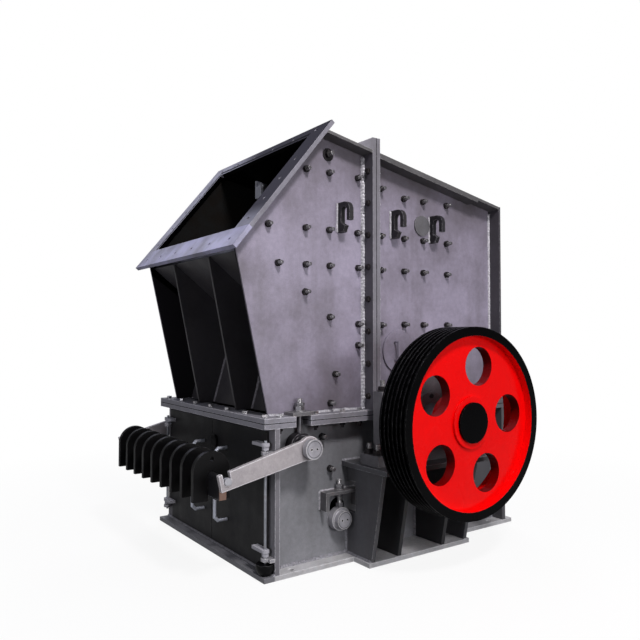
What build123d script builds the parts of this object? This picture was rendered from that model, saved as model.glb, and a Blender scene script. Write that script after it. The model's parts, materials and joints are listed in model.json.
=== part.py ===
import os
from math import atan2, cos, degrees, radians, sin, sqrt
from build123d import *

os.makedirs("parts", exist_ok=True)

# Base plate and the plates that carry the bearings
base_length = 2000.0
base_thick = 26.0
base_foot_extra = 19.0
base_foot_reach = 236.0
discharge_end_ledge = 150.0
discharge_ledge = 53.0
base_hole_dia = 33.0
base_hole_inset = 37.0
base_hole_inner_spacing = 560.0
base_hole_end_inset = 190.0

# Casing shell, whose flanges stand out from the walls all round
casing_width = 1246.0
flange_reach = 94.0
wall_thick = 20.0
liner_thick = 20.0
liner_gap = 8.0
liner_lip_gap = 12.0
flange_thick = 29.0
mid_height = 827.0
upright_inset = 65.0
upright_thick = 30.0
front_opening_side = 100.0
front_opening_edge = 60.0

# Upper casing outline, seen from the pulley side
upper_front_inset = 77.0
feed_front_reach = 257.0
feed_low_z = 1762.0
feed_run = 632.0
feed_high_z = 2533.0
feed_flange_thick = 25.0
feed_strip_inset = 68.0
feed_opening_low = 150.0
feed_opening_high = 905.0
feed_hole_radius = 12.0
feed_hole_low = 58.0
feed_hole_edge = 117.0
feed_row_hole_count = 6
feed_side_hole_pitch = 160.0
feed_side_hole_count = 4
feed_lip_height = 62.0
upper_rear_inset = 105.0
roof_thick = 18.0
roof_rear_z = 2196.0
split_x = -228.0
roof_split_z = 2403.0
split_rise = 81.0
split_gusset_length = 112.0
split_gusset_thick = 16.0
edge_bar_thick = 15.0
edge_bar_end_inset = 217.0
rear_flange_thick = 14.0
rear_flange_inset = 60.0
rear_flange_edge = 120.0

# Front recess under the feed mouth
chute_lip_reach = 165.0
chute_lip_z = 1752.0
front_wall_lean = 150.0
chute_end_z = 1410.0
front_wall_set_back = 117.0
chute_thick = 30.0
rib_offset = 252.0
rib_thick = 16.0
rib_lip_edge = 8.0

# Rotor line
shaft_z = 820.0
shaft_radius = 80.0
journal_gap = 0.3
wall_bore_radius = 125.0
rotor_side_gap = 23.0
rotor_radius = 500.0
bar_tip_radius = 600.0
bar_depth = 190.0
bar_width = 80.0
bar_count = 4

# Drive pulley
pulley_radius = 525.0
pulley_reach = 657.0
pulley_width = 200.0
rim_inner_radius = 476.0
rim_recess = 42.0
web_thick = 60.0
web_hole_count = 5
web_hole_circle_radius = 313.0
web_hole_radius = 108.0
web_hole_start_angle = 5.5
hub_radius = 143.0
hub_proud = 12.0
hub_cap_radius = 111.0
hub_cap_thick = 14.0
groove_count = 6
groove_pitch = 31.0
groove_depth = 24.0
groove_top = 23.0
groove_bottom = 10.0

# Bearing stands and housings
stand_half_length = 420.0
stand_top_z = 563.0
stand_top_thick = 28.0
stand_top_reach = 397.0
gusset_foot_reach = 230.0
gusset_top_reach = 330.0
gusset_thick = 26.0
gusset_outer_x = 386.0
gusset_inner_x = 190.0
gusset_notch_reach = 87.0
gusset_notch_low = 270.0
gusset_notch_high = 450.0
housing_wall_gap = 129.0
housing_width = 160.0
housing_foot_half = 385.0
housing_foot_thick = 60.0
housing_body_half = 320.0
housing_lug_width = 80.0
housing_lug_depth = 78.0
housing_lug_z = 975.0
housing_cap_radius = 245.0
cover_radius = 145.0
cover_thick = 26.0
seal_radius = 165.0
seal_thick = 14.0
seal_gap = 1.0
seal_shaft_gap = 4.0
shaft_end_proud = 20.0

# Counterweight levers
pivot_set_back = 197.0
pivot_drop = 115.0
pivot_radius = 45.0
arm_wall_gap = 112.0
arm_thick = 25.0
arm_run = 540.0
arm_slope_angle = 13.0
arm_tip_depth = 86.0
arm_root_depth = 112.0
arm_boss_radius = 66.0
hook_pin_radius = 20.0
hook_width = 41.0
hook_set_back = 42.0
pivot_cap_radius = 55.0
pivot_cap_thick = 34.0
cap_hole_radius = 5.5
cap_hole_depth = 10.0
cap_hole_spacing = 36.0
washer_gap = 6.0
bush_radius = 75.0
eye_width = 60.0
collar_radius = 60.0

# Weight bar and saddle plates
weight_bar_thick = 38.0
weight_bar_depth = 101.0
weight_bar_arm_gap = 25.0
rod_end_proud = 8.0
plate_count = 9
plate_pitch = 142.0
plate_thick = 27.0
plate_width = 208.0
plate_height = 256.0
plate_slot_gap = 1.0
plate_leg_height = 129.0
plate_hole_radius = 12.0
plate_hole_drop = 42.0

# Eyebolts at the lever pivot, and the slots in the middle flange that pass them
flange_slot_shift = 14.0
flange_slot_width = 98.0
flange_slot_margin = 6.0
eyebolt_radius = 13.0
eyebolt_proud = 70.0
bridge_length = 134.0
bridge_width = 90.0
bridge_wall_gap = 3.0
bridge_thick = 20.0

# Lower adjusting pin with its eye, stud, slot and bracket
low_pin_x = -455.0
low_pin_z = 238.0
low_pin_radius = 38.0
low_eye_radius = 66.0
low_eye_width = 45.0
low_cap_radius = 50.0
low_cap_thick = 32.0
low_stud_radius = 12.0
low_stud_proud = 58.0
low_pin_inward = 10.0
pin_slot_width = 106.0
pin_slot_high_z = 300.0
bracket_top_z = 405.0
bracket_foot_z = 300.0
bracket_depth = 67.0
bracket_half_length = 124.0
bracket_thick = 18.0

# Impact apron inside the casing, hung from a shaft
apron_x = 235.0
apron_z = 2010.0
apron_shaft_radius = 35.0
apron_eye_radius = 62.0
apron_side_gap = 8.0
apron_disc_radius = 66.0
apron_disc_thick = 10.0
apron_neck_drop = 310.0
apron_neck_shift = 37.0
apron_back_reach = 124.0
apron_tip_shift = 175.0
apron_tip_rise = 515.0

# Lifting hooks on the upper walls, and the round inspection covers
hook_places = (-437.0, -19.0, 319.0)
lift_hook_top_z = 2078.0
lift_hook_thick = 30.0
lift_hook_reach = 117.0
lift_hook_shank = 36.0
lift_hook_throat = 54.0
lift_hook_prong = 112.0
lift_hook_height = 176.0
cover_x = 30.0
cover_rise = 342.0
inspection_radius = 134.0
inspection_thick = 12.0
cover_handle_x = -12.0
cover_handle_height = 124.0
cover_handle_bar = 11.0
cover_handle_reach = 42.0

# Doors
door_gap = 6.0
door_thick = 14.0
door_low_z = 44.0
door_top_gap = 18.0
door_edge_reach = 32.0
door_seat_gap = 2.0
hinge_stand_off = 30.0
hinge_reach = 45.0
hinge_rod_radius = 8.0
hinge_rod_drop = 63.0
lug_radius = 24.0
lug_thick = 18.0
lug_low_z = 100.0
lug_top_drop = 138.0
lug_gap = 6.0
lug_spacing = 44.0
lug_inward = 104.0
sleeve_radius = 19.0
cup_radius = 50.0
cup_foot_radius = 26.0
cup_height = 62.0
hinge_clearance = 6.0
handle_stand_off = 80.0
handle_low_z = 212.0
handle_top_drop = 148.0
handle_near_y = -200.0
handle_far_y = 110.0
handle_radius = 10.0
handle_bend = 22.0
latch_radius = 38.0
latch_thick = 14.0
latch_drop = 127.0
latch_y = -42.0

# Places along the machine that follow from the base plate's length
discharge_length = base_length - 2 * discharge_end_ledge
base_hole_rows = (base_hole_inner_spacing, base_length - 2 * base_hole_end_inset)
lower_front_x = upright_inset - base_length / 2
lower_rear_x = base_length / 2 - upright_inset
upper_front_foot_x = upper_front_inset - base_length / 2
upper_rear_x = base_length / 2 - upper_rear_inset
edge_bar_end_x = upper_rear_x - edge_bar_end_inset
feed_low_x = lower_front_x - feed_front_reach
feed_high_x = feed_low_x + feed_run
front_wall_foot_x = lower_front_x + front_wall_set_back
chute_end_x = front_wall_foot_x + front_wall_lean
chute_lip_x = lower_front_x - chute_lip_reach
pivot_x = lower_front_x + pivot_set_back
flange_slot_x = pivot_x - flange_slot_shift
hinge_x = lower_front_x - hinge_stand_off

# Angle and length of the feed slope
slope_dx = feed_high_x - feed_low_x
slope_dz = feed_high_z - feed_low_z
slope_length = sqrt(slope_dx ** 2 + slope_dz ** 2)
slope_angle = degrees(atan2(slope_dz, slope_dx))

# Heights and faces that follow from the values above
half_width = casing_width / 2
half_flange = half_width + flange_reach
inner_half = half_width - wall_thick
liner_half = inner_half - liner_thick
rotor_length = 2 * (liner_half - rotor_side_gap)
feed_opening_width = casing_width - 2 * feed_strip_inset
feed_hole_pitch = 2 * (half_flange - feed_hole_edge) / (feed_row_hole_count - 1)
low_flange_z = mid_height - flange_thick
top_flange_z = mid_height + flange_thick
cover_z = top_flange_z + cover_rise
pivot_z = low_flange_z - pivot_drop
door_high_z = low_flange_z - door_top_gap
hinge_rod_top = low_flange_z - hinge_rod_drop
lug_high_z = low_flange_z - lug_top_drop
handle_high_z = door_high_z - handle_top_drop
latch_z = door_high_z - latch_drop
split_top_z = roof_split_z + split_rise
roof_ends = (split_x - flange_thick, split_x + flange_thick)
pulley_outer_y = -(half_width + pulley_reach)
web_outer_y = pulley_outer_y + rim_recess
web_inner_y = web_outer_y + web_thick
housing_inner_y = half_width + housing_wall_gap
arm_inner_y = half_width + arm_wall_gap
hinge_y = half_width + hinge_reach
eyebolt_x = pivot_x
eyebolt_y = half_width + eye_width / 2
door_edge_y = half_width + door_edge_reach
door_face_x = lower_front_x - door_seat_gap - door_thick


def on_slope(along, out):
    """Point at a distance up the feed slope and a distance out from its outer face."""
    a = radians(slope_angle)
    x = feed_low_x + along * cos(a) - out * sin(a)
    z = feed_low_z + along * sin(a) + out * cos(a)
    return (x, z)


def roof_top_z(x):
    """Height of the roof's upper face, which falls towards the rear."""
    fall = (roof_split_z - roof_rear_z) / (upper_rear_x - split_x)
    return roof_rear_z + (upper_rear_x - x) * fall


def slope_back_at(z):
    """Where the back of the feed flange stands at a height."""
    x0, z0 = on_slope(0, -feed_flange_thick)
    return x0 + (z - z0) * slope_dx / slope_dz


def roof_meets_slope(drop):
    """Where a line that lies a distance below the roof's top meets the feed flange's back."""
    fall = (roof_split_z - roof_rear_z) / (upper_rear_x - split_x)
    k = slope_dx / slope_dz
    x0, z0 = on_slope(0, -feed_flange_thick)
    start = roof_rear_z - drop + upper_rear_x * fall
    x = (x0 + (start - z0) * k) / (1 + fall * k)
    return (x, start - fall * x)


def save(builder, label):
    """Name the part and write its file."""
    builder.part.label = label
    export_step(builder.part, "parts/" + label + ".step")


# Casing wall plates

def make_base_frame():
    with BuildPart() as base:
        with BuildSketch():
            Rectangle(base_length, 2 * half_flange)
            Rectangle(
                2 * (gusset_outer_x + base_foot_extra),
                2 * (half_width + base_foot_reach),
            )
            discharge_width = 2 * (inner_half - discharge_ledge)
            Rectangle(discharge_length, discharge_width, mode=Mode.SUBTRACT)
            spacing_y = 2 * (half_flange - base_hole_inset)
            for spacing_x in base_hole_rows:
                with GridLocations(spacing_x, spacing_y, 2, 2):
                    Circle(base_hole_dia / 2, mode=Mode.SUBTRACT)
        extrude(amount=base_thick)
    save(base, "base_frame")


def make_lower_side_walls():
    with BuildPart() as walls:
        with BuildSketch(Plane.XZ.offset(inner_half)):
            with BuildLine():
                Polyline(
                    (lower_front_x + upright_thick, base_thick),
                    (lower_rear_x - upright_thick, base_thick),
                    (lower_rear_x - upright_thick, low_flange_z),
                    (lower_front_x + upright_thick, low_flange_z),
                    close=True,
                )
            make_face()
            with Locations((0, shaft_z)):
                Circle(wall_bore_radius, mode=Mode.SUBTRACT)
            with Locations((pivot_x, pivot_z)):
                Circle(pivot_radius + journal_gap, mode=Mode.SUBTRACT)
            for z in (low_pin_z, pin_slot_high_z):
                with Locations((low_pin_x, z)):
                    Circle(pin_slot_width / 2, mode=Mode.SUBTRACT)
            with Locations((low_pin_x, (low_pin_z + pin_slot_high_z) / 2)):
                Rectangle(pin_slot_width, pin_slot_high_z - low_pin_z, mode=Mode.SUBTRACT)
        extrude(amount=wall_thick)
        mirror(about=Plane.XZ)
    save(walls, "lower_side_walls")


def make_lower_front_frame():
    with BuildPart() as frame:
        with BuildSketch(Plane.YZ.offset(lower_front_x)):
            with Locations((0, (base_thick + low_flange_z) / 2)):
                Rectangle(2 * half_flange, low_flange_z - base_thick)
                Rectangle(
                    2 * (half_width - front_opening_side),
                    low_flange_z - base_thick - 2 * front_opening_edge,
                    mode=Mode.SUBTRACT,
                )
        extrude(amount=upright_thick)
    save(frame, "lower_front_frame")


def make_lower_rear_wall():
    with BuildPart() as wall:
        with BuildSketch(Plane.YZ.offset(lower_rear_x - upright_thick)):
            with Locations((0, (base_thick + low_flange_z) / 2)):
                Rectangle(2 * half_flange, low_flange_z - base_thick)
        extrude(amount=upright_thick)
    save(wall, "lower_rear_wall")


def make_mid_flange(label, low_z):
    with BuildPart() as flange:
        with BuildSketch(Plane.XY.offset(low_z)):
            Rectangle(base_length, 2 * half_flange)
            Rectangle(2 * (upper_rear_x - wall_thick), 2 * inner_half, mode=Mode.SUBTRACT)
            slot_depth = flange_reach - flange_slot_margin
            for side in (-1, 1):
                with Locations((flange_slot_x, side * (half_flange - slot_depth / 2))):
                    Rectangle(flange_slot_width, slot_depth, mode=Mode.SUBTRACT)
        extrude(amount=flange_thick)
        with BuildSketch(Plane.XZ.offset(-half_flange)):
            with Locations((0, shaft_z)):
                Circle(seal_radius + seal_gap)
        extrude(amount=2 * half_flange, mode=Mode.SUBTRACT)
    save(flange, label)


def upper_outline():
    """Corner points of the upper side wall, front foot first."""
    lip_z = on_slope(feed_lip_height, -feed_flange_thick)[1]
    return {
        "foot": (upper_front_foot_x, top_flange_z),
        "lip": (slope_back_at(lip_z), lip_z),
        "head": roof_meets_slope(roof_thick),
    }


def make_front_side_walls():
    pts = upper_outline()
    end_x = roof_ends[0]
    with BuildPart() as walls:
        with BuildSketch(Plane.XZ.offset(inner_half)):
            with BuildLine():
                Polyline(
                    pts["foot"],
                    pts["lip"],
                    pts["head"],
                    (end_x, roof_top_z(end_x) - roof_thick),
                    (end_x, top_flange_z),
                    close=True,
                )
            make_face()
        extrude(amount=wall_thick)
        mirror(about=Plane.XZ)
    save(walls, "front_side_walls")


def make_rear_side_walls():
    start_x = roof_ends[1]
    with BuildPart() as walls:
        with BuildSketch(Plane.XZ.offset(inner_half)):
            with BuildLine():
                Polyline(
                    (start_x, top_flange_z),
                    (start_x, roof_top_z(start_x) - roof_thick),
                    (upper_rear_x, roof_top_z(upper_rear_x) - roof_thick),
                    (upper_rear_x, top_flange_z),
                    close=True,
                )
            make_face()
            with Locations((0, shaft_z)):
                Circle(wall_bore_radius, mode=Mode.SUBTRACT)
            with Locations((apron_x, apron_z)):
                Circle(apron_shaft_radius, mode=Mode.SUBTRACT)
        extrude(amount=wall_thick)
        mirror(about=Plane.XZ)
    save(walls, "rear_side_walls")


def make_front_wall():
    top_z = chute_end_z - chute_thick
    with BuildPart() as wall:
        with BuildSketch(Plane.XZ.offset(-inner_half)):
            with BuildLine():
                Polyline(
                    (front_wall_foot_x, top_flange_z),
                    (chute_end_x, top_z),
                    (chute_end_x + wall_thick, top_z),
                    (front_wall_foot_x + wall_thick, top_flange_z),
                    close=True,
                )
            make_face()
        extrude(amount=2 * inner_half)
    save(wall, "front_wall")


def chute_normal():
    """Step from the chute's underside to its upper face."""
    dx = chute_end_x - chute_lip_x
    dz = chute_end_z - chute_lip_z
    run = sqrt(dx ** 2 + dz ** 2)
    return (-dz / run * chute_thick, dx / run * chute_thick)


def make_chute_floor():
    nx, nz = chute_normal()
    with BuildPart() as floor:
        with BuildSketch(Plane.XZ.offset(-inner_half)):
            with BuildLine():
                Polyline(
                    (chute_lip_x, chute_lip_z),
                    (chute_end_x, chute_end_z),
                    (chute_end_x + nx, chute_end_z + nz),
                    (chute_lip_x + nx, chute_lip_z + nz),
                    close=True,
                )
            make_face()
        extrude(amount=2 * inner_half)
    save(floor, "chute_floor")


def make_side_liners():
    nx, nz = chute_normal()
    low_z = shaft_z + wall_bore_radius + liner_gap
    top_drop = roof_thick + liner_gap
    wall_top_z = chute_end_z - chute_thick
    foot_x = front_wall_foot_x + wall_thick + liner_gap
    lip_z = chute_lip_z + nz + liner_lip_gap
    head_x = roof_meets_slope(top_drop)[0] + liner_lip_gap
    rear_x = upper_rear_x - wall_thick - liner_gap
    with BuildPart() as liners:
        with BuildSketch(Plane.XZ.offset(liner_half)):
            with BuildLine():
                Polyline(
                    (foot_x, top_flange_z + liner_gap),
                    (chute_end_x + wall_thick + liner_gap, wall_top_z),
                    (chute_end_x + nx + liner_gap, chute_end_z + nz),
                    (chute_lip_x + nx, lip_z),
                    (slope_back_at(lip_z) + liner_lip_gap, lip_z),
                    (head_x, roof_top_z(head_x) - top_drop),
                    (roof_ends[0], roof_top_z(roof_ends[0]) - top_drop),
                    (roof_ends[0], top_flange_z + liner_gap),
                    close=True,
                )
            make_face()
        with BuildSketch(Plane.XZ.offset(liner_half)):
            with BuildLine():
                Polyline(
                    (roof_ends[1], low_z),
                    (roof_ends[1], roof_top_z(roof_ends[1]) - top_drop),
                    (rear_x, roof_top_z(rear_x) - top_drop),
                    (rear_x, low_z),
                    close=True,
                )
            make_face()
            with Locations((apron_x, apron_z)):
                Circle(apron_shaft_radius, mode=Mode.SUBTRACT)
        extrude(amount=liner_thick)
        mirror(about=Plane.XZ)
    save(liners, "side_liners")


def make_front_ribs():
    pts = upper_outline()
    with BuildPart() as ribs:
        with BuildSketch(Plane.XZ.offset(rib_offset - rib_thick / 2)):
            with BuildLine():
                Polyline(
                    pts["foot"],
                    (chute_lip_x - rib_lip_edge, chute_lip_z - rib_lip_edge),
                    (chute_lip_x, chute_lip_z),
                    (chute_end_x, chute_end_z),
                    (chute_end_x, chute_end_z - chute_thick),
                    (front_wall_foot_x, top_flange_z),
                    close=True,
                )
            make_face()
        extrude(amount=rib_thick)
        mirror(about=Plane.XZ)
    save(ribs, "front_ribs")


def make_feed_flange():
    low_x, low_z = on_slope(0, 0)
    plane = Plane(
        origin=(low_x, 0, low_z),
        x_dir=(slope_dx, 0, slope_dz),
        z_dir=(-slope_dz, 0, slope_dx),
    )
    with BuildPart() as flange:
        with BuildSketch(plane.offset(-feed_flange_thick)):
            with Locations((slope_length / 2, 0)):
                Rectangle(slope_length, 2 * half_flange)
            opening = feed_opening_high - feed_opening_low
            with Locations(((feed_opening_low + feed_opening_high) / 2, 0)):
                Rectangle(opening, feed_opening_width, mode=Mode.SUBTRACT)
            high = (feed_opening_high + slope_length) / 2
            for along in (feed_hole_low, high):
                with Locations((along, 0)):
                    with GridLocations(1, feed_hole_pitch, 1, feed_row_hole_count):
                        Circle(feed_hole_radius, mode=Mode.SUBTRACT)
            for i in range(feed_side_hole_count):
                along = feed_opening_low + feed_hole_low + i * feed_side_hole_pitch
                side = (half_flange + feed_opening_width / 2) / 2
                with Locations((along, side), (along, -side)):
                    Circle(feed_hole_radius, mode=Mode.SUBTRACT)
        extrude(amount=feed_flange_thick)
    save(flange, "feed_flange")


def roof_profile(start_top, start_under, rear_x):
    """Section of a roof plate, which runs the whole width of the flanges."""
    with BuildSketch(Plane.XZ.offset(-half_flange)) as profile:
        with BuildLine():
            Polyline(
                start_under,
                start_top,
                (rear_x, roof_top_z(rear_x)),
                (rear_x, roof_top_z(rear_x) - roof_thick),
                close=True,
            )
        make_face()
    return profile.sketch


def make_front_roof():
    profile = roof_profile(roof_meets_slope(0), roof_meets_slope(roof_thick), roof_ends[0])
    with BuildPart() as roof:
        extrude(profile, amount=2 * half_flange)
    save(roof, "front_roof")


def make_rear_roof():
    """Rear roof plate with a bar under each overhanging edge."""
    start_x = roof_ends[1]
    start_z = roof_top_z(start_x)
    under = start_z - roof_thick
    end_under = roof_top_z(edge_bar_end_x) - roof_thick
    with BuildPart() as roof:
        with BuildSketch(Plane.XZ.offset(half_width)):
            with BuildLine():
                Polyline(
                    (start_x, under),
                    (edge_bar_end_x, end_under),
                    (edge_bar_end_x, end_under - edge_bar_thick),
                    (start_x, under - edge_bar_thick),
                    close=True,
                )
            make_face()
        extrude(amount=flange_reach)
        mirror(about=Plane.XZ)
        profile = roof_profile((start_x, start_z), (start_x, under), upper_rear_x)
        extrude(profile, amount=2 * half_flange)
    save(roof, "rear_roof")


def split_plate_profile(front_x):
    """Outline of one split flange plate, open where the casing is hollow."""
    under = roof_top_z(split_x) - roof_thick
    with BuildSketch(Plane.YZ.offset(front_x)) as profile:
        with Locations((0, (top_flange_z + split_top_z) / 2)):
            Rectangle(2 * half_flange, split_top_z - top_flange_z)
        with Locations((0, (top_flange_z + under) / 2)):
            Rectangle(2 * inner_half, under - top_flange_z, mode=Mode.SUBTRACT)
    return profile.sketch


def make_split_flange_front():
    """Front split flange with a gusset on the roof at each end."""
    front_x = split_x - flange_thick
    tail_x = front_x - split_gusset_length
    with BuildPart() as flange:
        with BuildSketch(Plane.XZ.offset(half_flange - split_gusset_thick)):
            with BuildLine():
                Polyline(
                    (front_x, roof_top_z(front_x)),
                    (tail_x, roof_top_z(tail_x)),
                    (front_x, split_top_z),
                    close=True,
                )
            make_face()
        extrude(amount=split_gusset_thick)
        mirror(about=Plane.XZ)
        extrude(split_plate_profile(front_x), amount=flange_thick)
    save(flange, "split_flange_front")


def make_split_flange_rear():
    with BuildPart() as flange:
        extrude(split_plate_profile(split_x), amount=flange_thick)
    save(flange, "split_flange_rear")


def make_upper_rear_wall():
    with BuildPart() as wall:
        under = roof_top_z(upper_rear_x) - roof_thick
        with BuildSketch(Plane.YZ.offset(upper_rear_x - wall_thick)):
            with Locations((0, (top_flange_z + under) / 2)):
                Rectangle(2 * inner_half, under - top_flange_z)
        extrude(amount=wall_thick)
    save(wall, "upper_rear_wall")


def make_rear_flange():
    with BuildPart() as flange:
        with BuildSketch(Plane.YZ.offset(upper_rear_x)):
            with Locations((0, (top_flange_z + roof_rear_z) / 2)):
                Rectangle(2 * half_flange, roof_rear_z - top_flange_z)
                Rectangle(
                    2 * (inner_half - rear_flange_inset),
                    roof_rear_z - top_flange_z - 2 * rear_flange_edge,
                    mode=Mode.SUBTRACT,
                )
        extrude(amount=rear_flange_thick)
    save(flange, "rear_flange")


# Bearing stands, housings and seals

def make_bearing_stands():
    under = stand_top_z - stand_top_thick
    notch_y = -half_width - gusset_notch_reach
    with BuildPart() as stands:
        with BuildSketch(Plane.XZ.offset(half_width)):
            with Locations((0, stand_top_z - stand_top_thick / 2)):
                Rectangle(2 * stand_half_length, stand_top_thick)
        extrude(amount=stand_top_reach)
        inner = gusset_inner_x - gusset_thick
        outer = gusset_outer_x - gusset_thick
        for x in (-gusset_outer_x, -gusset_inner_x, inner, outer):
            with BuildSketch(Plane.YZ.offset(x)):
                with BuildLine():
                    Polyline(
                        (-half_width, base_thick),
                        (-half_width - gusset_foot_reach, base_thick),
                        (-half_width - gusset_top_reach, under),
                        (-half_width, under),
                        (-half_width, gusset_notch_high),
                        (notch_y, gusset_notch_high),
                        (notch_y, gusset_notch_low),
                        (-half_width, gusset_notch_low),
                        close=True,
                    )
                make_face()
            extrude(amount=gusset_thick)
        mirror(about=Plane.XZ)
    save(stands, "bearing_stands")


def make_bearing_housings():
    lug_y = housing_inner_y + (housing_width - housing_lug_depth) / 2
    lug_mid = housing_body_half - housing_lug_width / 2
    lug_z = (shaft_z + housing_lug_z) / 2
    with BuildPart() as housings:
        with BuildSketch(Plane.XZ.offset(housing_inner_y)):
            with Locations((0, stand_top_z + housing_foot_thick / 2)):
                Rectangle(2 * housing_foot_half, housing_foot_thick)
            with Locations((0, (stand_top_z + shaft_z) / 2)):
                Rectangle(2 * housing_cap_radius, shaft_z - stand_top_z)
            with Locations((0, shaft_z)):
                Circle(housing_cap_radius)
                Circle(shaft_radius + journal_gap, mode=Mode.SUBTRACT)
        extrude(amount=housing_width)
        with BuildSketch(Plane.XZ.offset(lug_y)):
            with Locations((0, (stand_top_z + shaft_z) / 2)):
                Rectangle(2 * housing_body_half, shaft_z - stand_top_z)
            with Locations((-lug_mid, lug_z), (lug_mid, lug_z)):
                Rectangle(housing_lug_width, housing_lug_z - shaft_z)
            with Locations((0, shaft_z)):
                Circle(housing_cap_radius)
                Circle(shaft_radius + journal_gap, mode=Mode.SUBTRACT)
        extrude(amount=housing_lug_depth)
        with BuildSketch(Plane.XZ.offset(housing_inner_y + housing_width)):
            with Locations((0, shaft_z)):
                Circle(cover_radius)
                Circle(shaft_radius + journal_gap, mode=Mode.SUBTRACT)
        extrude(amount=cover_thick)
        mirror(about=Plane.XZ)
    save(housings, "bearing_housings")


def make_shaft_seals():
    with BuildPart() as seals:
        with BuildSketch(Plane.XZ.offset(half_width)):
            with Locations((0, shaft_z)):
                Circle(seal_radius)
                Circle(shaft_radius + seal_shaft_gap, mode=Mode.SUBTRACT)
        extrude(amount=seal_thick)
        mirror(about=Plane.XZ)
    save(seals, "shaft_seals")


# Rotor and pulley

def make_rotor_shaft():
    start_y = web_outer_y - hub_proud
    end_y = housing_inner_y + housing_width + cover_thick + shaft_end_proud
    with BuildPart() as shaft:
        with BuildSketch(Plane.XZ.offset(-end_y)):
            with Locations((0, shaft_z)):
                Circle(shaft_radius)
        extrude(amount=end_y - start_y)
    save(shaft, "rotor_shaft")


def make_rotor_body():
    with BuildPart() as rotor:
        with BuildSketch(Plane.XZ.offset(-rotor_length / 2)):
            with Locations((0, shaft_z)):
                Circle(rotor_radius)
                Circle(shaft_radius, mode=Mode.SUBTRACT)
            with Locations((0, shaft_z)):
                with PolarLocations(bar_tip_radius - bar_depth / 2, bar_count):
                    Rectangle(bar_depth, bar_width, mode=Mode.SUBTRACT)
        extrude(amount=rotor_length)
    save(rotor, "rotor_body")


def make_blow_bars():
    with BuildPart() as bars:
        with BuildSketch(Plane.XZ.offset(-rotor_length / 2)):
            with Locations((0, shaft_z)):
                with PolarLocations(bar_tip_radius - bar_depth / 2, bar_count):
                    Rectangle(bar_depth, bar_width)
        extrude(amount=rotor_length)
    save(bars, "blow_bars")


def make_pulley_rim():
    outer = pulley_radius
    with BuildPart() as rim:
        with BuildSketch(Plane.XY.offset(shaft_z)):
            with BuildLine():
                edge = (pulley_width - groove_count * groove_pitch) / 2
                pts = [(rim_inner_radius, pulley_outer_y), (outer, pulley_outer_y)]
                y = pulley_outer_y + edge
                for i in range(groove_count):
                    mid = y + groove_pitch / 2
                    pts.append((outer, mid - groove_top / 2))
                    pts.append((outer - groove_depth, mid - groove_bottom / 2))
                    pts.append((outer - groove_depth, mid + groove_bottom / 2))
                    pts.append((outer, mid + groove_top / 2))
                    y = y + groove_pitch
                pts.append((outer, pulley_outer_y + pulley_width))
                pts.append((rim_inner_radius, pulley_outer_y + pulley_width))
                Polyline(*pts, close=True)
            make_face()
        revolve(axis=Axis((0, 0, shaft_z), (0, 1, 0)))
    save(rim, "pulley_rim")


def make_pulley_web():
    with BuildPart() as web:
        with BuildSketch(Plane.XZ.offset(-web_inner_y)):
            with Locations((0, shaft_z)):
                Circle(rim_inner_radius)
                Circle(shaft_radius, mode=Mode.SUBTRACT)
                with PolarLocations(
                    web_hole_circle_radius, web_hole_count, start_angle=web_hole_start_angle
                ):
                    Circle(web_hole_radius, mode=Mode.SUBTRACT)
        extrude(amount=web_thick)
        with BuildSketch(Plane.XZ.offset(-web_outer_y)):
            with Locations((0, shaft_z)):
                Circle(hub_radius)
                Circle(shaft_radius, mode=Mode.SUBTRACT)
        extrude(amount=hub_proud)
        with BuildSketch(Plane.XZ.offset(-(pulley_outer_y + pulley_width))):
            with Locations((0, shaft_z)):
                Circle(hub_radius)
                Circle(shaft_radius, mode=Mode.SUBTRACT)
        extrude(amount=pulley_outer_y + pulley_width - web_inner_y)
    save(web, "pulley_web")


def make_hub_cap():
    with BuildPart() as cap:
        with BuildSketch(Plane.XZ.offset(-(web_outer_y - hub_proud))):
            with Locations((0, shaft_z)):
                Circle(hub_cap_radius)
        extrude(amount=hub_cap_thick)
    save(cap, "pulley_hub_cap")


# Counterweight levers

arm_angle = radians(arm_slope_angle)
arm_reach = arm_run / cos(arm_angle)
arm_outer_y = arm_inner_y + arm_thick
hook_x = pivot_x - (arm_reach - hook_set_back) * cos(arm_angle)
hook_z = pivot_z - (arm_reach - hook_set_back) * sin(arm_angle)


def make_cross_shaft():
    end_y = arm_outer_y + washer_gap
    with BuildPart() as shaft:
        with BuildSketch(Plane.XZ.offset(-end_y)):
            with Locations((pivot_x, pivot_z)):
                Circle(pivot_radius)
        extrude(amount=2 * end_y)
    save(shaft, "lever_cross_shaft")


def make_shaft_bushes():
    with BuildPart() as bushes:
        with BuildSketch(Plane.XZ.offset(half_width)):
            with Locations((pivot_x, pivot_z)):
                Circle(bush_radius)
                Circle(pivot_radius + journal_gap, mode=Mode.SUBTRACT)
        extrude(amount=eye_width)
        with BuildSketch(Plane.XZ.offset(half_width + eye_width)):
            with Locations((pivot_x, pivot_z)):
                Circle(collar_radius)
                Circle(pivot_radius + journal_gap, mode=Mode.SUBTRACT)
        extrude(amount=arm_wall_gap - eye_width - washer_gap)
        mirror(about=Plane.XZ)
    save(bushes, "cross_shaft_bushes")


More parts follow.
